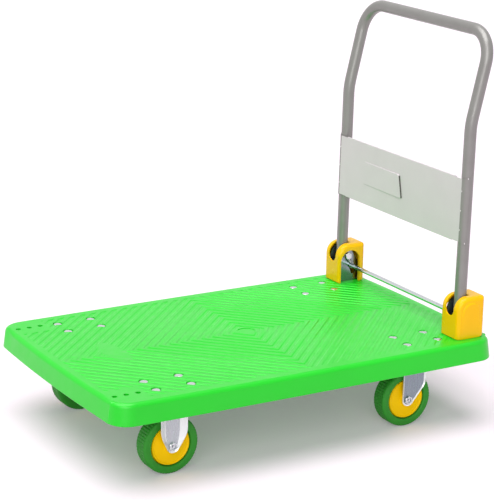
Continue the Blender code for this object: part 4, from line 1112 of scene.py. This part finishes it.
@dataclass
class Handle:
    """The bent tube and the sheet panel across its legs, about the fold's axis."""

    wall: float = 1.5 * MM
    tail: float = 19.0 * MM
    pivot_hole: float = 10.8 * MM
    leg_lean: float = math.radians(0.8)
    upper_lean: float = math.radians(13.3)
    leg_length: float = 386.0 * MM
    upper_length: float = 190.0 * MM
    leg_bend: float = 160.0 * MM
    bar_bend: float = 62.0 * MM
    sides: int = 40
    panel_start: float = 140.0 * MM
    panel_height: float = 137.0 * MM
    sheet: float = 1.2 * MM
    seat: float = 0.3 * MM
    wrap: float = math.radians(75.0)
    fold: float = 1.8 * MM
    lip: float = 5.0 * MM
    lip_turn: float = math.radians(118.0)
    field_width: float = 147.0 * MM
    field_height: float = 51.0 * MM
    field_rise: float = 2.2 * MM
    field_shift: float = 61.5 * MM
    field_lift: float = 1.8 * MM
    field_corner: float = 6.0 * MM
    field_run: float = 0.6
    field_lean: float = math.radians(13.0)
    # The next two sizes are those of the thin dark strip of painted shade at the field's near end.
    shear: float = 0.8 * MM
    shear_height: float = 47.0 * MM
    weld: float = 1.9 * MM
    weld_pitch: float = 41.0 * MM

    def __post_init__(self) -> None:
        """Takes the fold's axis and the tube's diameter from the frame."""
        pivot = middle_of("pivot_bolt_left")
        self.x, self.y, self.z = pivot.x, -middle_of("bracket_bolt_left_1").y, pivot.z
        low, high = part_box("handle_tube")
        self.tube = high.y - low.y - 2 * self.y

    @property
    def front(self) -> float:
        """Reach of the panel's front face from the fold's axis."""
        return -self.tube / 2 - self.seat - self.sheet

    def direction(self, lean: float) -> Vector:
        """The way up a part of the handle that leans to the rear."""
        return Vector((math.sin(lean), 0.0, math.cos(lean)))

    def half_line(self, tail: float) -> list[Vector]:
        """The tube's middle line on the left side, from below the pivot to the bar."""
        base = Vector((0.0, -self.y, 0.0))
        low, high = self.direction(self.leg_lean), self.direction(self.upper_lean)
        bend = self.upper_lean - self.leg_lean
        points = [base - tail * low]
        start = base + (self.leg_length - self.leg_bend * math.tan(bend / 2)) * low
        rearward = Vector((low.z, 0.0, -low.x))
        for a in (bend * i / 10 for i in range(11)):
            points.append(start + self.leg_bend * (math.sin(a) * low + (1 - math.cos(a)) * rearward))
        corner = base + self.leg_length * low + (self.upper_length - self.bar_bend) * high
        inward = Vector((0.0, 1.0, 0.0))
        for a in (math.pi / 2 * i / 18 for i in range(19)):
            points.append(corner + self.bar_bend * (math.sin(a) * high + (1 - math.cos(a)) * inward))
        return points

    def tube_mesh(self) -> Mesh:
        """The tube, hollow and open below, and drilled for the pivots."""
        half = self.half_line(self.tail)
        line = half + [Vector((p.x, -p.y, p.z)) for p in reversed(half)]
        outer = tube_rings(line, self.tube / 2, self.sides)
        inner = tube_rings(line, self.tube / 2 - self.wall, self.sides)
        tube = loft(outer + inner[::-1], looped=True)
        reach = Vector((0.0, self.y + self.tube, 0.0))
        return combined(tube, peg(self.pivot_hole / 2, -reach, reach), Way.CUT)

    def pressing(self) -> Mesh:
        """The plain field pressed out of the panel, which rises slowly from its far end to its near one."""
        middle = self.panel_start + self.panel_height / 2 + self.field_lift
        width = self.field_width

        def ring(draw: float, lift: float) -> Ring:
            plan = rounded_plan(width - 2 * draw, self.field_height - 2 * draw, self.field_corner)
            points = []
            for y, z in plan:
                share = min((width / 2 - y) / (self.field_run * width), 1.0)
                shear = max(0.0, -2 * y / width) * z * math.tan(self.field_lean)
                points.append(Vector((self.front + 0.05 * MM - lift * share, self.field_shift + y + shear,
                                      middle + z)))
            return points

        slope, rise = 1.6 * MM, self.field_rise
        base = [point + Vector((0.6 * self.sheet, 0.0, 0.0)) for point in ring(-0.6 * MM, 0.0)]
        return loft([base, ring(0.0, 0.0), ring(0.15 * slope, 0.5 * rise), ring(0.5 * slope, 0.9 * rise),
                     ring(slope, rise)])

    def sheared_edge(self) -> Mesh:
        """A thin dark strip at the field's near end: painted shade for the shadow line along that edge."""
        middle = self.panel_start + self.panel_height / 2 + self.field_lift
        near, half = self.field_shift - self.field_width / 2, self.shear_height / 2
        low, high = self.front + 0.3 * MM, self.front - self.field_rise - 0.1 * MM
        plan = [(low, near - self.shear), (high + 0.4 * MM, near - self.shear), (high, near - 0.4 * self.shear),
                (high, near + 1.6 * self.shear), (low, near + 1.6 * self.shear)]
        lean = math.tan(self.field_lean)
        return loft([[Vector((x, y + z * lean, middle + z)) for x, y in plan] for z in (-half, half)])

    def panel_lip(self, low: float, way: float) -> Mesh:
        """A folded-back edge: a turn and a short flat, along the panel between the legs."""
        front = self.front
        outer, inner = self.fold, self.fold - self.sheet
        centre = (front + outer, low)
        turns = [self.lip_turn * i / 8 for i in range(9)]
        over = [(centre[0] - outer * math.cos(a), low + way * outer * math.sin(a)) for a in turns]
        under = [(centre[0] - inner * math.cos(a), low + way * inner * math.sin(a)) for a in turns]
        run, fall = self.lip * math.sin(self.lip_turn), self.lip * math.cos(self.lip_turn) * way
        ends = [(x + run, z + fall) for x, z in (over[-1], under[-1])]
        start = -way * 0.8 * MM
        plan = [(front, low + start), *over, *ends, *reversed(under), (front + self.sheet, low + start)]
        half = self.y - self.tube
        return loft([side_ring(plan, y) for y in (-half, half)])

    def panel_mesh(self) -> Mesh:
        """The flat of the panel between the legs, with its folded lips and plain pressed field."""
        back = self.front + self.sheet
        soft = 0.3 * MM
        plan = [(back, -self.y), (back, self.y), (self.front + soft, self.y), (self.front, self.y - soft),
                (self.front, -self.y + soft), (self.front + soft, -self.y)]
        low, high = self.panel_start + self.fold, self.panel_start + self.panel_height - self.fold
        panel = loft([flat_ring(plan, low), flat_ring(plan, high)])
        panel = combined(panel, self.panel_lip(low, -1.0), Way.JOIN)
        panel = combined(panel, self.panel_lip(high, 1.0), Way.JOIN)
        return combined(panel, self.pressing(), Way.JOIN)

    def wrap_mesh(self) -> Mesh:
        """The panel's ends, which wrap both legs."""
        near, far = self.tube / 2 + self.seat, self.tube / 2 + self.seat + self.sheet
        outer = arc((0.0, self.y), far, math.pi, math.pi - self.wrap, 16)
        inner = arc((0.0, self.y), near, math.pi - self.wrap, math.pi, 16)
        rims = [self.panel_start, self.panel_start + self.panel_height]
        right = loft([flat_ring(outer + inner, z) for z in rims])
        return gathered([moved(right, FLIP_Y), right])

    def weld_places(self) -> list[Vector]:
        """Spots where the panel is tacked to the tubes: along its folds, and at the ends of its wraps."""
        middle = self.panel_start + self.panel_height / 2
        fold = [(math.pi - 0.12, middle + self.weld_pitch * i) for i in (-1, 0, 1)]
        rims = [(math.pi - 0.8 * self.wrap, middle + i * self.panel_height / 2) for i in (-1, 1)]
        reach = self.tube / 2 + self.seat + self.sheet
        return [Vector((reach * math.cos(turn), side.value * (self.y + reach * math.sin(turn)), z))
                for side in Side for turn, z in fold + rims]

    def weld_bead(self, place: Vector) -> Mesh:
        """A small flattened bead of weld under paint."""
        bm = bmesh.new()
        shape = Matrix.Translation(place) @ Matrix.Diagonal((self.weld * 0.6, self.weld * 0.6, self.weld, 1.0))
        bmesh.ops.create_uvsphere(bm, u_segments=14, v_segments=9, radius=1.0, matrix=shape)
        return mesh_from(bm)

    def build(self, dresser: Dresser) -> None:
        """Adds the handle in its upright place."""
        place = Matrix.Translation((self.x, 0.0, self.z))
        lean = place @ Matrix.Rotation(self.leg_lean, 4, "Y")
        dresser.piece("push_handle", moved(self.tube_mesh(), place), Look.TUBE, "handle", ["handle_tube"])
        # The panel's lighter, pink-cast enamel is a painted reflection and a painted offset of the deck's green
        # bounce light.
        dresser.piece("handle_plate", moved(self.panel_mesh(), lean), Look.PANEL, "handle", ["handle_panel"])
        # A thin dark strip of painted shade along the pressed field's near edge.
        dresser.piece("handle_plate_shear", moved(self.sheared_edge(), lean), Look.SHEARED, "handle")
        dresser.piece("handle_plate_wraps", moved(self.wrap_mesh(), lean), Look.TUBE, "handle")
        beads = gathered(self.weld_bead(spot) for spot in self.weld_places())
        dresser.piece("handle_plate_tacks", moved(beads, lean), Look.PANEL, "handle")


@dataclass
class Wheel:
    """A rubber-tyred wheel on its bush and axle bolt, about the axle along Y."""

    diameter: float = 120.0 * MM
    tyre_width: float = 37.0 * MM
    shoulder: float = 6.0 * MM
    hub: float = 84.5 * MM
    rim_width: float = 33.0 * MM
    face_sink: float = 1.5 * MM
    boss: float = 26.0 * MM
    bore: float = 16.0 * MM
    leg_inner: float = 20.9 * MM
    leg_face: float = 23.4 * MM
    axle: float = 10.0 * MM
    head_across: float = 16.0 * MM
    head_height: float = 4.2 * MM
    head_dish: float = 3.4 * MM
    nut_height: float = 7.0 * MM
    grooves: int = 60
    groove_depth: float = 0.9 * MM
    hub_steps: int = 96

    def hub_mesh(self) -> Mesh:
        """The hub: a boss, a shallow web and a rounded rim ring."""
        rim, lip = self.hub / 2, self.rim_width / 2
        face, boss, end = lip - self.face_sink, self.boss / 2, self.leg_inner - 0.6 * MM
        half = [(self.bore / 2, end - 0.5 * MM), (self.bore / 2 + 0.5 * MM, end), (boss - 0.8 * MM, end),
                (boss, end - 0.8 * MM), (boss + 0.5 * MM, face + 1.2 * MM), (boss + 1.6 * MM, face + 0.3 * MM),
                (boss + 3.4 * MM, face), (rim - 6.6 * MM, face - 0.4 * MM), (rim - 5.2 * MM, face - 0.1 * MM),
                (rim - 4.3 * MM, lip - 0.5 * MM), (rim - 3.6 * MM, lip - 0.1 * MM), (rim - 2.8 * MM, lip),
                (rim - 2.2 * MM, lip), (rim - 1.4 * MM, lip - 0.6 * MM), (rim - 0.9 * MM, lip - 2.4 * MM),
                (rim - 0.6 * MM, lip - 5.0 * MM), (rim, lip - 5.4 * MM)]
        return turned_ring(mirrored_section(half), self.hub_steps)

    def tyre_mesh(self) -> Mesh:
        """The tyre: round shoulders and a tread crossed by fine grooves."""
        inner, tread, side = self.hub / 2 + 0.3 * MM, self.diameter / 2, self.tyre_width / 2
        soft = self.shoulder
        half = [(inner, side - 7.4 * MM), (inner + 0.6 * MM, side - 7.0 * MM), (inner + 0.9 * MM, side - 3.4 * MM),
                (inner + 1.4 * MM, side - 1.4 * MM), (inner + 2.4 * MM, side - 0.4 * MM), (inner + 3.6 * MM, side),
                (tread - soft - 2.0 * MM, side)]
        half += arc((tread - soft, side - soft), soft, math.pi / 2, 0.0, 8)[:-1]
        half += [(tread, side - soft), (tread, 5.2 * MM), (tread - 0.7 * MM, 4.7 * MM),
                 (tread - 0.7 * MM, 3.3 * MM), (tread, 2.8 * MM)]
        section = mirrored_section(half)
        steps = self.grooves * 4
        rings = []
        for i in range(steps):
            a = math.tau * i / steps
            cut = self.groove_depth if i % 4 == 0 else 0.0
            ring = []
            for r, y in section:
                deep = cut * min(max((r - tread + soft / 2) / (soft / 2), 0.0), 1.0)
                ring.append(Vector(((r - deep) * math.cos(a), y, (r - deep) * math.sin(a))))
            rings.append(ring)
        return loft(rings, looped=True)

    def bush_mesh(self) -> Mesh:
        """The bush that the wheel turns on, between the fork's legs."""
        end, outer, inner = self.leg_inner - 0.3 * MM, self.bore / 2 - 0.4 * MM, self.axle / 2 + 0.4 * MM
        half = [(inner, end), (outer - 0.4 * MM, end), (outer, end - 0.4 * MM)]
        return turned_ring(mirrored_section(half), 48)

    def build(self, dresser: Dresser, fasteners: Fasteners) -> None:
        """Adds the four wheels with their axles."""
        hub, tyre, bush = self.hub_mesh(), self.tyre_mesh(), self.bush_mesh()
        seat = self.leg_face + 0.3 * MM
        reach = seat + self.nut_height + 2.0 * MM
        bolt = fasteners.hex_bolt(self.head_across, self.head_height, self.axle, seat + reach, self.head_dish)
        bolt = moved(bolt, Matrix.Translation((0.0, seat, 0.0)) @ Z_TO_Y)
        nut = moved(fasteners.hex_nut(self.head_across, self.nut_height, self.axle + 0.8 * MM),
                    Matrix.Translation((0.0, -seat, 0.0)) @ Z_TO_Y)
        for end in End:
            for side in Side:
                corner = f"{end.tag}_{side.tag}"
                place = Matrix.Translation(middle_of(f"tyre_{corner}"))
                fork = "root" if end is End.FRONT else f"swivel_{side.tag}"
                outward = place if side is Side.RIGHT else place @ FLIP_Y
                wheel = f"wheel_{corner}"
                dresser.piece(f"hub_{corner}", moved(hub, place), Look.HUB, wheel, [f"wheel_hub_{corner}"])
                dresser.piece(f"tread_{corner}", moved(tyre, place), Look.TYRE, wheel, [f"tyre_{corner}"])
                dresser.piece(f"bush_{corner}", moved(bush, place), Look.BUSH, fork, [f"axle_bush_{corner}"])
                dresser.piece(f"axle_pin_{corner}", moved(bolt, outward), Look.FASTENER, fork,
                              [f"axle_bolt_{corner}"])
                dresser.piece(f"axle_lock_{corner}", moved(nut, outward), Look.FASTENER, fork,
                              [f"axle_nut_{corner}"])


@dataclass
class Fork:
    """What the fixed and the swivel fork share: pressed legs with flared edges, about the axle."""

    leg_inner: float = 20.9 * MM
    sheet: float = 2.5 * MM
    end_radius: float = 13.6 * MM
    end_flare: float = 0.25
    rise: float = 28.0 * MM
    axle_hole: float = 10.8 * MM
    plate_sheet: float = 3.0 * MM
    plate_length: float = 95.0 * MM
    plate_width: float = 70.9 * MM
    plate_corner: float = 8.0 * MM
    bolt_pitch: tuple[float, float] = (76.4 * MM, 52.3 * MM)
    bolt_hole: float = 8.8 * MM

    def __post_init__(self) -> None:
        """Takes the axle's height and the plate's from the frame."""
        self.axle_z = middle_of("tyre_front_left").z
        self.plate_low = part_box("rigid_fork_left")[1].z - self.plate_sheet

    def tangent(self, point: tuple[float, float], radius: float, way: float) -> float:
        """The angle on a circle about the axle where a line from a point touches it."""
        return math.atan2(point[1], point[0]) + way * math.acos(radius / math.hypot(*point))

    def eased(self, corner: tuple[float, float], after: tuple[float, float], reach: float) -> Plan:
        """A shoulder under an upright edge, eased into the line to the next point."""
        run = math.dist(corner, after)
        start = (corner[0], corner[1] + reach)
        end = tuple(c + (a - c) * reach / run for c, a in zip(corner, after))
        weights = [i / 8 for i in range(9)]
        return [tuple((1 - t) ** 2 * s + 2 * t * (1 - t) * c + t * t * e for s, c, e in zip(start, corner, end))
                for t in weights]

    def outline(self, rear: float, front: float, radius: float, rise: float, top: float, ease: float) -> Plan:
        """A leg from the side: a round end that widens to its full width above.

        Args:
            rear: reach of the upright rear edge from the axle.
            front: reach of the upright front edge, which may be the end's own radius.
            radius: radius of the round end.
            rise: height above the axle of the shoulders.
            top: height above the axle of the leg's top.
            ease: how far each shoulder is eased up and down.

        Returns:
            The points from the rear edge's top, round the end, to the front edge's top.
        """
        start = self.tangent((rear, rise), radius, -1.0)
        touch = (radius * math.cos(start), radius * math.sin(start))
        points = [(rear, top), *self.eased((rear, rise), touch, ease)]
        if front > radius + WELD:
            end = self.tangent((-front, rise), radius, 1.0) - math.tau
            touch = (radius * math.cos(end), radius * math.sin(end))
            return [*points, *arc((0, 0), radius, start, end, 20),
                    *reversed(self.eased((-front, rise), touch, ease)), (-front, top)]
        shoulder = [(-radius, rise * i / 8) for i in range(1, 9)]
        return [*points, *arc((0, 0), radius, start, -math.pi, 20), *shoulder, (-radius, top)]

    def flare_share(self, z: float) -> float:
        """How much of the flare is left at a height from the axle: little round the leg's end."""
        share = (z + self.end_radius) / (self.rise + self.end_radius)
        return self.end_flare + (1 - self.end_flare) * min(max(share, 0.0), 1.0)

    def face(self, flat: Plan) -> Mesh:
        """The flat of a leg on the +Y side."""
        return loft([side_ring(flat, y) for y in (self.leg_inner, self.leg_inner + self.sheet)])

    def edge(self, wide: Plan, flat: Plan, flare: float) -> Mesh:
        """The edge of a leg, of even sheet, which bends outward all round the flat.

        Args:
            wide: the leg's outline at the flare's edge.
            flat: the outline of the flat face.
            flare: how far the edge stands out of the face.

        Returns:
            The edge on the +Y side.
        """
        def between(share: float) -> Plan:
            return [(a + (b - a) * share, c + (d - c) * share) for (a, c), (b, d) in zip(flat, wide)]

        def bend(share: float, lift: float, base: float) -> Ring:
            return [Vector((x, base + flare * lift * self.flare_share(z), z)) for x, z in between(share)]

        inner, outer = self.leg_inner, self.leg_inner + self.sheet
        bends = [(0.0, 0.0), (0.12, 0.04), (0.3, 0.2), (0.8, 0.82), (1.0, 1.0)]
        rings = [bend(share, lift, inner) for share, lift in bends]
        rings += [bend(1.0, 1.0, outer - 0.5 * MM), bend(0.95, 1.0, outer)]
        rings += [bend(share, lift, outer) for share, lift in reversed(bends[:-1])]
        return loft(rings, looped=True)

    def plate(self) -> Mesh:
        """The top plate with softened edges, from zero up."""
        soft = 0.6 * MM

        def ring(inset: float, z: float) -> Ring:
            long, wide = self.plate_length - 2 * inset, self.plate_width - 2 * inset
            return flat_ring(rounded_plan(long, wide, self.plate_corner - inset), z)

        high = self.plate_sheet
        plate = loft([ring(soft, 0.0), ring(0.0, soft), ring(0.0, high - soft), ring(soft, high)])
        spots = [Vector((i * self.bolt_pitch[0] / 2, j * self.bolt_pitch[1] / 2, 0.0))
                 for i in (-1, 1) for j in (-1, 1)]
        drills = gathered(peg(self.bolt_hole / 2, p - 0.01 * UP, p + 0.01 * UP) for p in spots)
        return combined(plate, drills, Way.CUT)

    def drilled(self, fork: Mesh) -> Mesh:
        """Drills both legs for the axle."""
        reach = Vector((0.0, 2 * self.leg_inner, 0.0))
        return combined(fork, peg(self.axle_hole / 2, -reach, reach), Way.CUT)


@dataclass
class FixedFork(Fork):
    """The front casters' fork: two legs with broad flared edges, welded to the plate."""

    half_width: float = 29.0 * MM
    rise: float = 26.0 * MM
    ease: float = 13.0 * MM
    flat_half: float = 15.6 * MM
    flat_radius: float = 9.8 * MM
    flare: float = 8.5 * MM

    def build(self, dresser: Dresser) -> None:
        """Adds both fixed forks."""
        top = self.plate_low + self.plate_sheet / 2 - self.axle_z
        wide = self.outline(self.half_width, self.half_width, self.end_radius, self.rise, top, self.ease)
        flat = self.outline(self.flat_half, self.flat_half, self.flat_radius, self.rise, top, self.ease)
        leg, edge = self.face(flat), self.edge(wide, flat, self.flare)
        fork = moved(self.plate(), Matrix.Translation((0.0, 0.0, self.plate_low - self.axle_z)))
        fork = combined(fork, moved(leg, FLIP_Y), Way.JOIN)
        fork = self.drilled(combined(fork, leg, Way.JOIN))
        edges = gathered([moved(edge, FLIP_Y), edge])
        for side in Side:
            place = Matrix.Translation(middle_of(f"tyre_front_{side.tag}"))
            dresser.piece(f"fixed_fork_{side.tag}", moved(fork, place), Look.PRESSED, "root",
                          [f"rigid_fork_{side.tag}"])
            # The flared edges wear the near-white finish, a painted highlight.
            dresser.piece(f"fixed_fork_edges_{side.tag}", moved(edges, place), Look.BURNISHED, "root")


@dataclass
class SwivelCaster(Fork):
    """The rear casters' plate, ball race, kingpin and swivel fork."""

    reach: float = 41.4 * MM
    rise: float = 29.5 * MM
    ease: float = 9.0 * MM
    flare: float = 2.1 * MM
    flare_width: float = 3.2 * MM
    trail: float = 28.4 * MM
    crown: float = 68.0 * MM
    crown_sheet: float = 3.0 * MM
    race_top: float = 64.0 * MM
    race_low: float = 54.0 * MM
    kingpin: float = 12.0 * MM
    kingpin_head: float = 22.0 * MM
    kingpin_head_height: float = 5.0 * MM

    def __post_init__(self) -> None:
        """Takes the crown's height from the frame, too."""
        super().__post_init__()
        self.crown_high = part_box("swivel_fork_left")[1].z
        self.crown_low = self.crown_high - self.crown_sheet

    def head(self) -> Mesh:
        """The plate with the race below it, from the plate's underside."""
        drop = self.plate_low - self.crown_high - 0.3 * MM
        wide, low = self.race_top / 2, self.race_low / 2
        race = turned([(0.0, 1.5 * MM), (wide + 0.5 * MM, 1.5 * MM), (wide, 0.0), (wide, -0.35 * drop),
                       (wide - 1.2 * MM, -0.5 * drop), (low + 2.4 * MM, -0.6 * drop),
                       (low + 1.0 * MM, -0.8 * drop), (low, -drop), (0.0, -drop)], 72)
        head = combined(self.plate(), race, Way.JOIN)
        bore = self.kingpin / 2 + 0.4 * MM
        return combined(head, peg(bore, Vector((0, 0, -0.03)), Vector((0, 0, 0.03))), Way.CUT)

    def pin(self) -> Mesh:
        """The kingpin between its two riveted heads, from the plate's underside."""
        wide, shank, tall = self.kingpin_head / 2, self.kingpin / 2, self.kingpin_head_height
        upper = self.plate_sheet + 0.3 * MM
        lower = self.crown_low - self.plate_low - 0.3 * MM
        turns = [math.pi / 2 * i / 6 for i in range(7)]
        rim = 0.8 * MM
        dome = [(wide * math.sin(a), upper + rim + (tall - rim) * math.cos(a)) for a in turns]
        bowl = [(wide * math.sin(a), lower - rim - (tall - rim) * math.cos(a)) for a in reversed(turns)]
        return turned([*dome, (wide, upper), (shank, upper), (shank, lower), (wide, lower), *bowl], 48)

    def fork(self) -> tuple[Mesh, Mesh]:
        """The fork and its bent edges about the kingpin's axis, with heights from the floor."""
        top = self.crown_high - 1.0 * MM - self.axle_z
        wide = self.outline(self.reach, self.end_radius, self.end_radius, self.rise, top, self.ease)
        inner = self.end_radius - self.flare_width
        flat = self.outline(self.reach - self.flare_width, inner, inner, self.rise, top, self.ease)
        place = Matrix.Translation((-self.trail, 0.0, self.axle_z))
        leg, edge = moved(self.face(flat), place), moved(self.edge(wide, flat, self.flare), place)
        soft, radius = 1.0 * MM, self.crown / 2
        high, low = self.crown_high, self.crown_low
        crown = turned([(0.0, high), (radius - soft, high), (radius, high - soft), (radius, low),
                        (radius - soft, low), (0.0, low)], 72)
        half = self.leg_inner + self.sheet + self.flare
        low, high = self.crown_low + 0.2 * MM, self.crown_high - 0.2 * MM
        plan = [(-self.trail - self.end_radius, -half), (self.reach - self.trail, -half),
                (self.reach - self.trail, half), (-self.trail - self.end_radius, half)]
        fork = combined(crown, loft([flat_ring(plan, low), flat_ring(plan, high)]), Way.JOIN)
        fork = combined(fork, moved(leg, FLIP_Y), Way.JOIN)
        fork = combined(fork, leg, Way.JOIN)
        reach = Vector((0.0, 2 * self.leg_inner, 0.0))
        axle = Vector((-self.trail, 0.0, self.axle_z))
        fork = combined(fork, peg(self.axle_hole / 2, axle - reach, axle + reach), Way.CUT)
        bore = self.kingpin / 2 + 0.4 * MM
        drill = peg(bore, (self.crown_low - 0.02) * UP, (self.crown_high + 0.02) * UP)
        return combined(fork, drill, Way.CUT), gathered([moved(edge, FLIP_Y), edge])

    def build(self, dresser: Dresser) -> None:
        """Adds both swivel casters."""
        head, pin = self.head(), self.pin()
        fork, edges = self.fork()
        for side in Side:
            centre = middle_of(f"kingpin_{side.tag}")
            floor = Matrix.Translation((centre.x, centre.y, 0.0))
            under = floor @ Matrix.Translation((0.0, 0.0, self.plate_low))
            # The swivel heads and yokes take the darker zinc, whose darkness is painted shade.
            dresser.piece(f"swivel_head_{side.tag}", moved(head, under), Look.ROLLED, "root",
                          [f"swivel_plate_{side.tag}"])
            dresser.piece(f"swivel_rivet_{side.tag}", moved(pin, under), Look.FASTENER, "root",
                          [f"kingpin_{side.tag}"])
            dresser.piece(f"swivel_yoke_{side.tag}", moved(fork, floor), Look.ROLLED, f"swivel_{side.tag}",
                          [f"swivel_fork_{side.tag}"])
            # The yoke's bent edges wear the near-white finish, a painted highlight.
            dresser.piece(f"swivel_yoke_edges_{side.tag}", moved(edges, floor), Look.BURNISHED,
                          f"swivel_{side.tag}")


@dataclass
class Studio:
    """Pale floor, soft light and the camera at the photograph's viewing angle."""

    azimuth: float = math.radians(-30.41)
    elevation: float = math.radians(15.99)
    roll: float = math.radians(1.04)
    distance: float = 3.961
    aim_right: float = 0.002
    aim_up: float = 0.209
    aim_base: float = 0.1443
    focal_pixels: float = 1885.2
    long_side_pixels: float = 500.0
    sensor: float = 36.0
    sky: float = 0.22
    floor_glow: float = 0.19

    def camera(self) -> None:
        """Adds the camera."""
        az, el = self.azimuth, self.elevation
        back = Vector((math.sin(az) * math.cos(el), -math.cos(az) * math.cos(el), math.sin(el)))
        right = UP.cross(back).normalized()
        up = back.cross(right)
        c, s = math.cos(self.roll), math.sin(self.roll)
        right, up = c * right + s * up, c * up - s * right
        eye = self.aim_base * UP + self.aim_right * right + self.aim_up * up + self.distance * back
        lens = bpy.data.cameras.new("studio_camera")
        lens.lens = self.focal_pixels / self.long_side_pixels * self.sensor
        lens.sensor_width = self.sensor
        lens.clip_end = 50.0
        camera = bpy.data.objects.new("studio_camera", lens)
        turn = Matrix((right, up, back)).transposed().to_4x4()
        camera.matrix_world = Matrix.Translation(eye) @ turn
        bpy.context.scene.collection.objects.link(camera)
        bpy.context.scene.camera = camera

    def seen(self, tree: bpy.types.NodeTree) -> bpy.types.NodeSocket:
        """One for rays that show the background: from the camera, from gloss and through glass."""
        path = add_node(tree, "ShaderNodeLightPath")
        first = add_node(tree, "ShaderNodeMath", {"operation": "MAXIMUM"},
                         {0: path.outputs["Is Camera Ray"], 1: path.outputs["Is Glossy Ray"]})
        both = add_node(tree, "ShaderNodeMath", {"operation": "MAXIMUM"},
                        {0: first.outputs[0], 1: path.outputs["Is Transmission Ray"]})
        return both.outputs[0]

    def world(self) -> None:
        """A plain sky that is white where it shows."""
        world = bpy.data.worlds.new("studio")
        world.use_nodes = True
        tree = world.node_tree
        level = add_node(tree, "ShaderNodeMapRange", None,
                         {"Value": self.seen(tree), "To Min": self.sky, "To Max": 1.0})
        plain = tree.nodes["Background"]
        plain.inputs["Color"].default_value = (1.0, 1.0, 1.0, 1.0)
        tree.links.new(level.outputs["Result"], plain.inputs["Strength"])
        bpy.context.scene.world = world

    def floor(self) -> None:
        """A wide pale floor that is white where it shows, and keeps the shadow."""
        half = 6.0
        mesh = bpy.data.meshes.new("studio_floor")
        mesh.from_pydata([(-half, -half, 0.0), (half, -half, 0.0), (half, half, 0.0), (-half, half, 0.0)], [],
                         [(0, 1, 2, 3)])
        material = bpy.data.materials.new("pale_paper_sweep")
        material.use_nodes = True
        tree = material.node_tree
        tree.nodes.clear()
        paper = add_node(tree, "ShaderNodeBsdfDiffuse", None, {"Color": linear("#EBDEE8")})
        glow = add_node(tree, "ShaderNodeMath", {"operation": "MULTIPLY"},
                        {0: self.seen(tree), 1: self.floor_glow})
        lift = add_node(tree, "ShaderNodeEmission", None, {"Strength": glow.outputs[0]})
        both = add_node(tree, "ShaderNodeAddShader", None, {0: paper.outputs[0], 1: lift.outputs[0]})
        add_node(tree, "ShaderNodeOutputMaterial", None, {"Surface": both.outputs[0]})
        mesh.materials.append(material)
        floor = bpy.data.objects.new("studio_floor", mesh)
        bpy.context.scene.collection.objects.link(floor)

    def lamp(self, name: str, toward: Vector, level: float, spread: float) -> None:
        """Adds a soft lamp far away.

        Args:
            name: the lamp's name.
            toward: the way from the trolley to the lamp.
            level: how bright it makes a white surface that faces it, where one is white.
            spread: the angle that the lamp fills, in degrees.
        """
        light = bpy.data.lights.new(name, "SUN")
        light.energy = level * math.pi
        light.angle = math.radians(spread)
        lamp = bpy.data.objects.new(name, light)
        lamp.rotation_euler = (-toward).to_track_quat("-Z", "Y").to_euler()
        bpy.context.scene.collection.objects.link(lamp)

    def build(self) -> None:
        """Sets the whole studio."""
        bpy.context.scene.view_settings.view_transform = "Standard"
        self.camera()
        self.world()
        self.floor()
        self.lamp("overhead_softbox", Vector((-0.2, 0.0, 1.0)), 0.88, 58.0)
        self.lamp("front_softbox", Vector((-1.0, -1.4, 0.8)), 0.44, 45.0)


def main() -> None:
    """Builds the studio and every sub-assembly around the frame."""
    logging.basicConfig(level=logging.INFO, format="%(name)s: %(message)s")
    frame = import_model()
    Studio().build()
    dresser = Dresser(FINISHES)
    fasteners = Fasteners()
    Deck().build(dresser, fasteners)
    Hinge().build(dresser, fasteners, frame["nodes"])
    ReleaseRod().build(dresser)
    Handle().build(dresser)
    Wheel().build(dresser, fasteners)
    FixedFork().build(dresser)
    SwivelCaster().build(dresser)


if __name__ == "__main__":
    main()
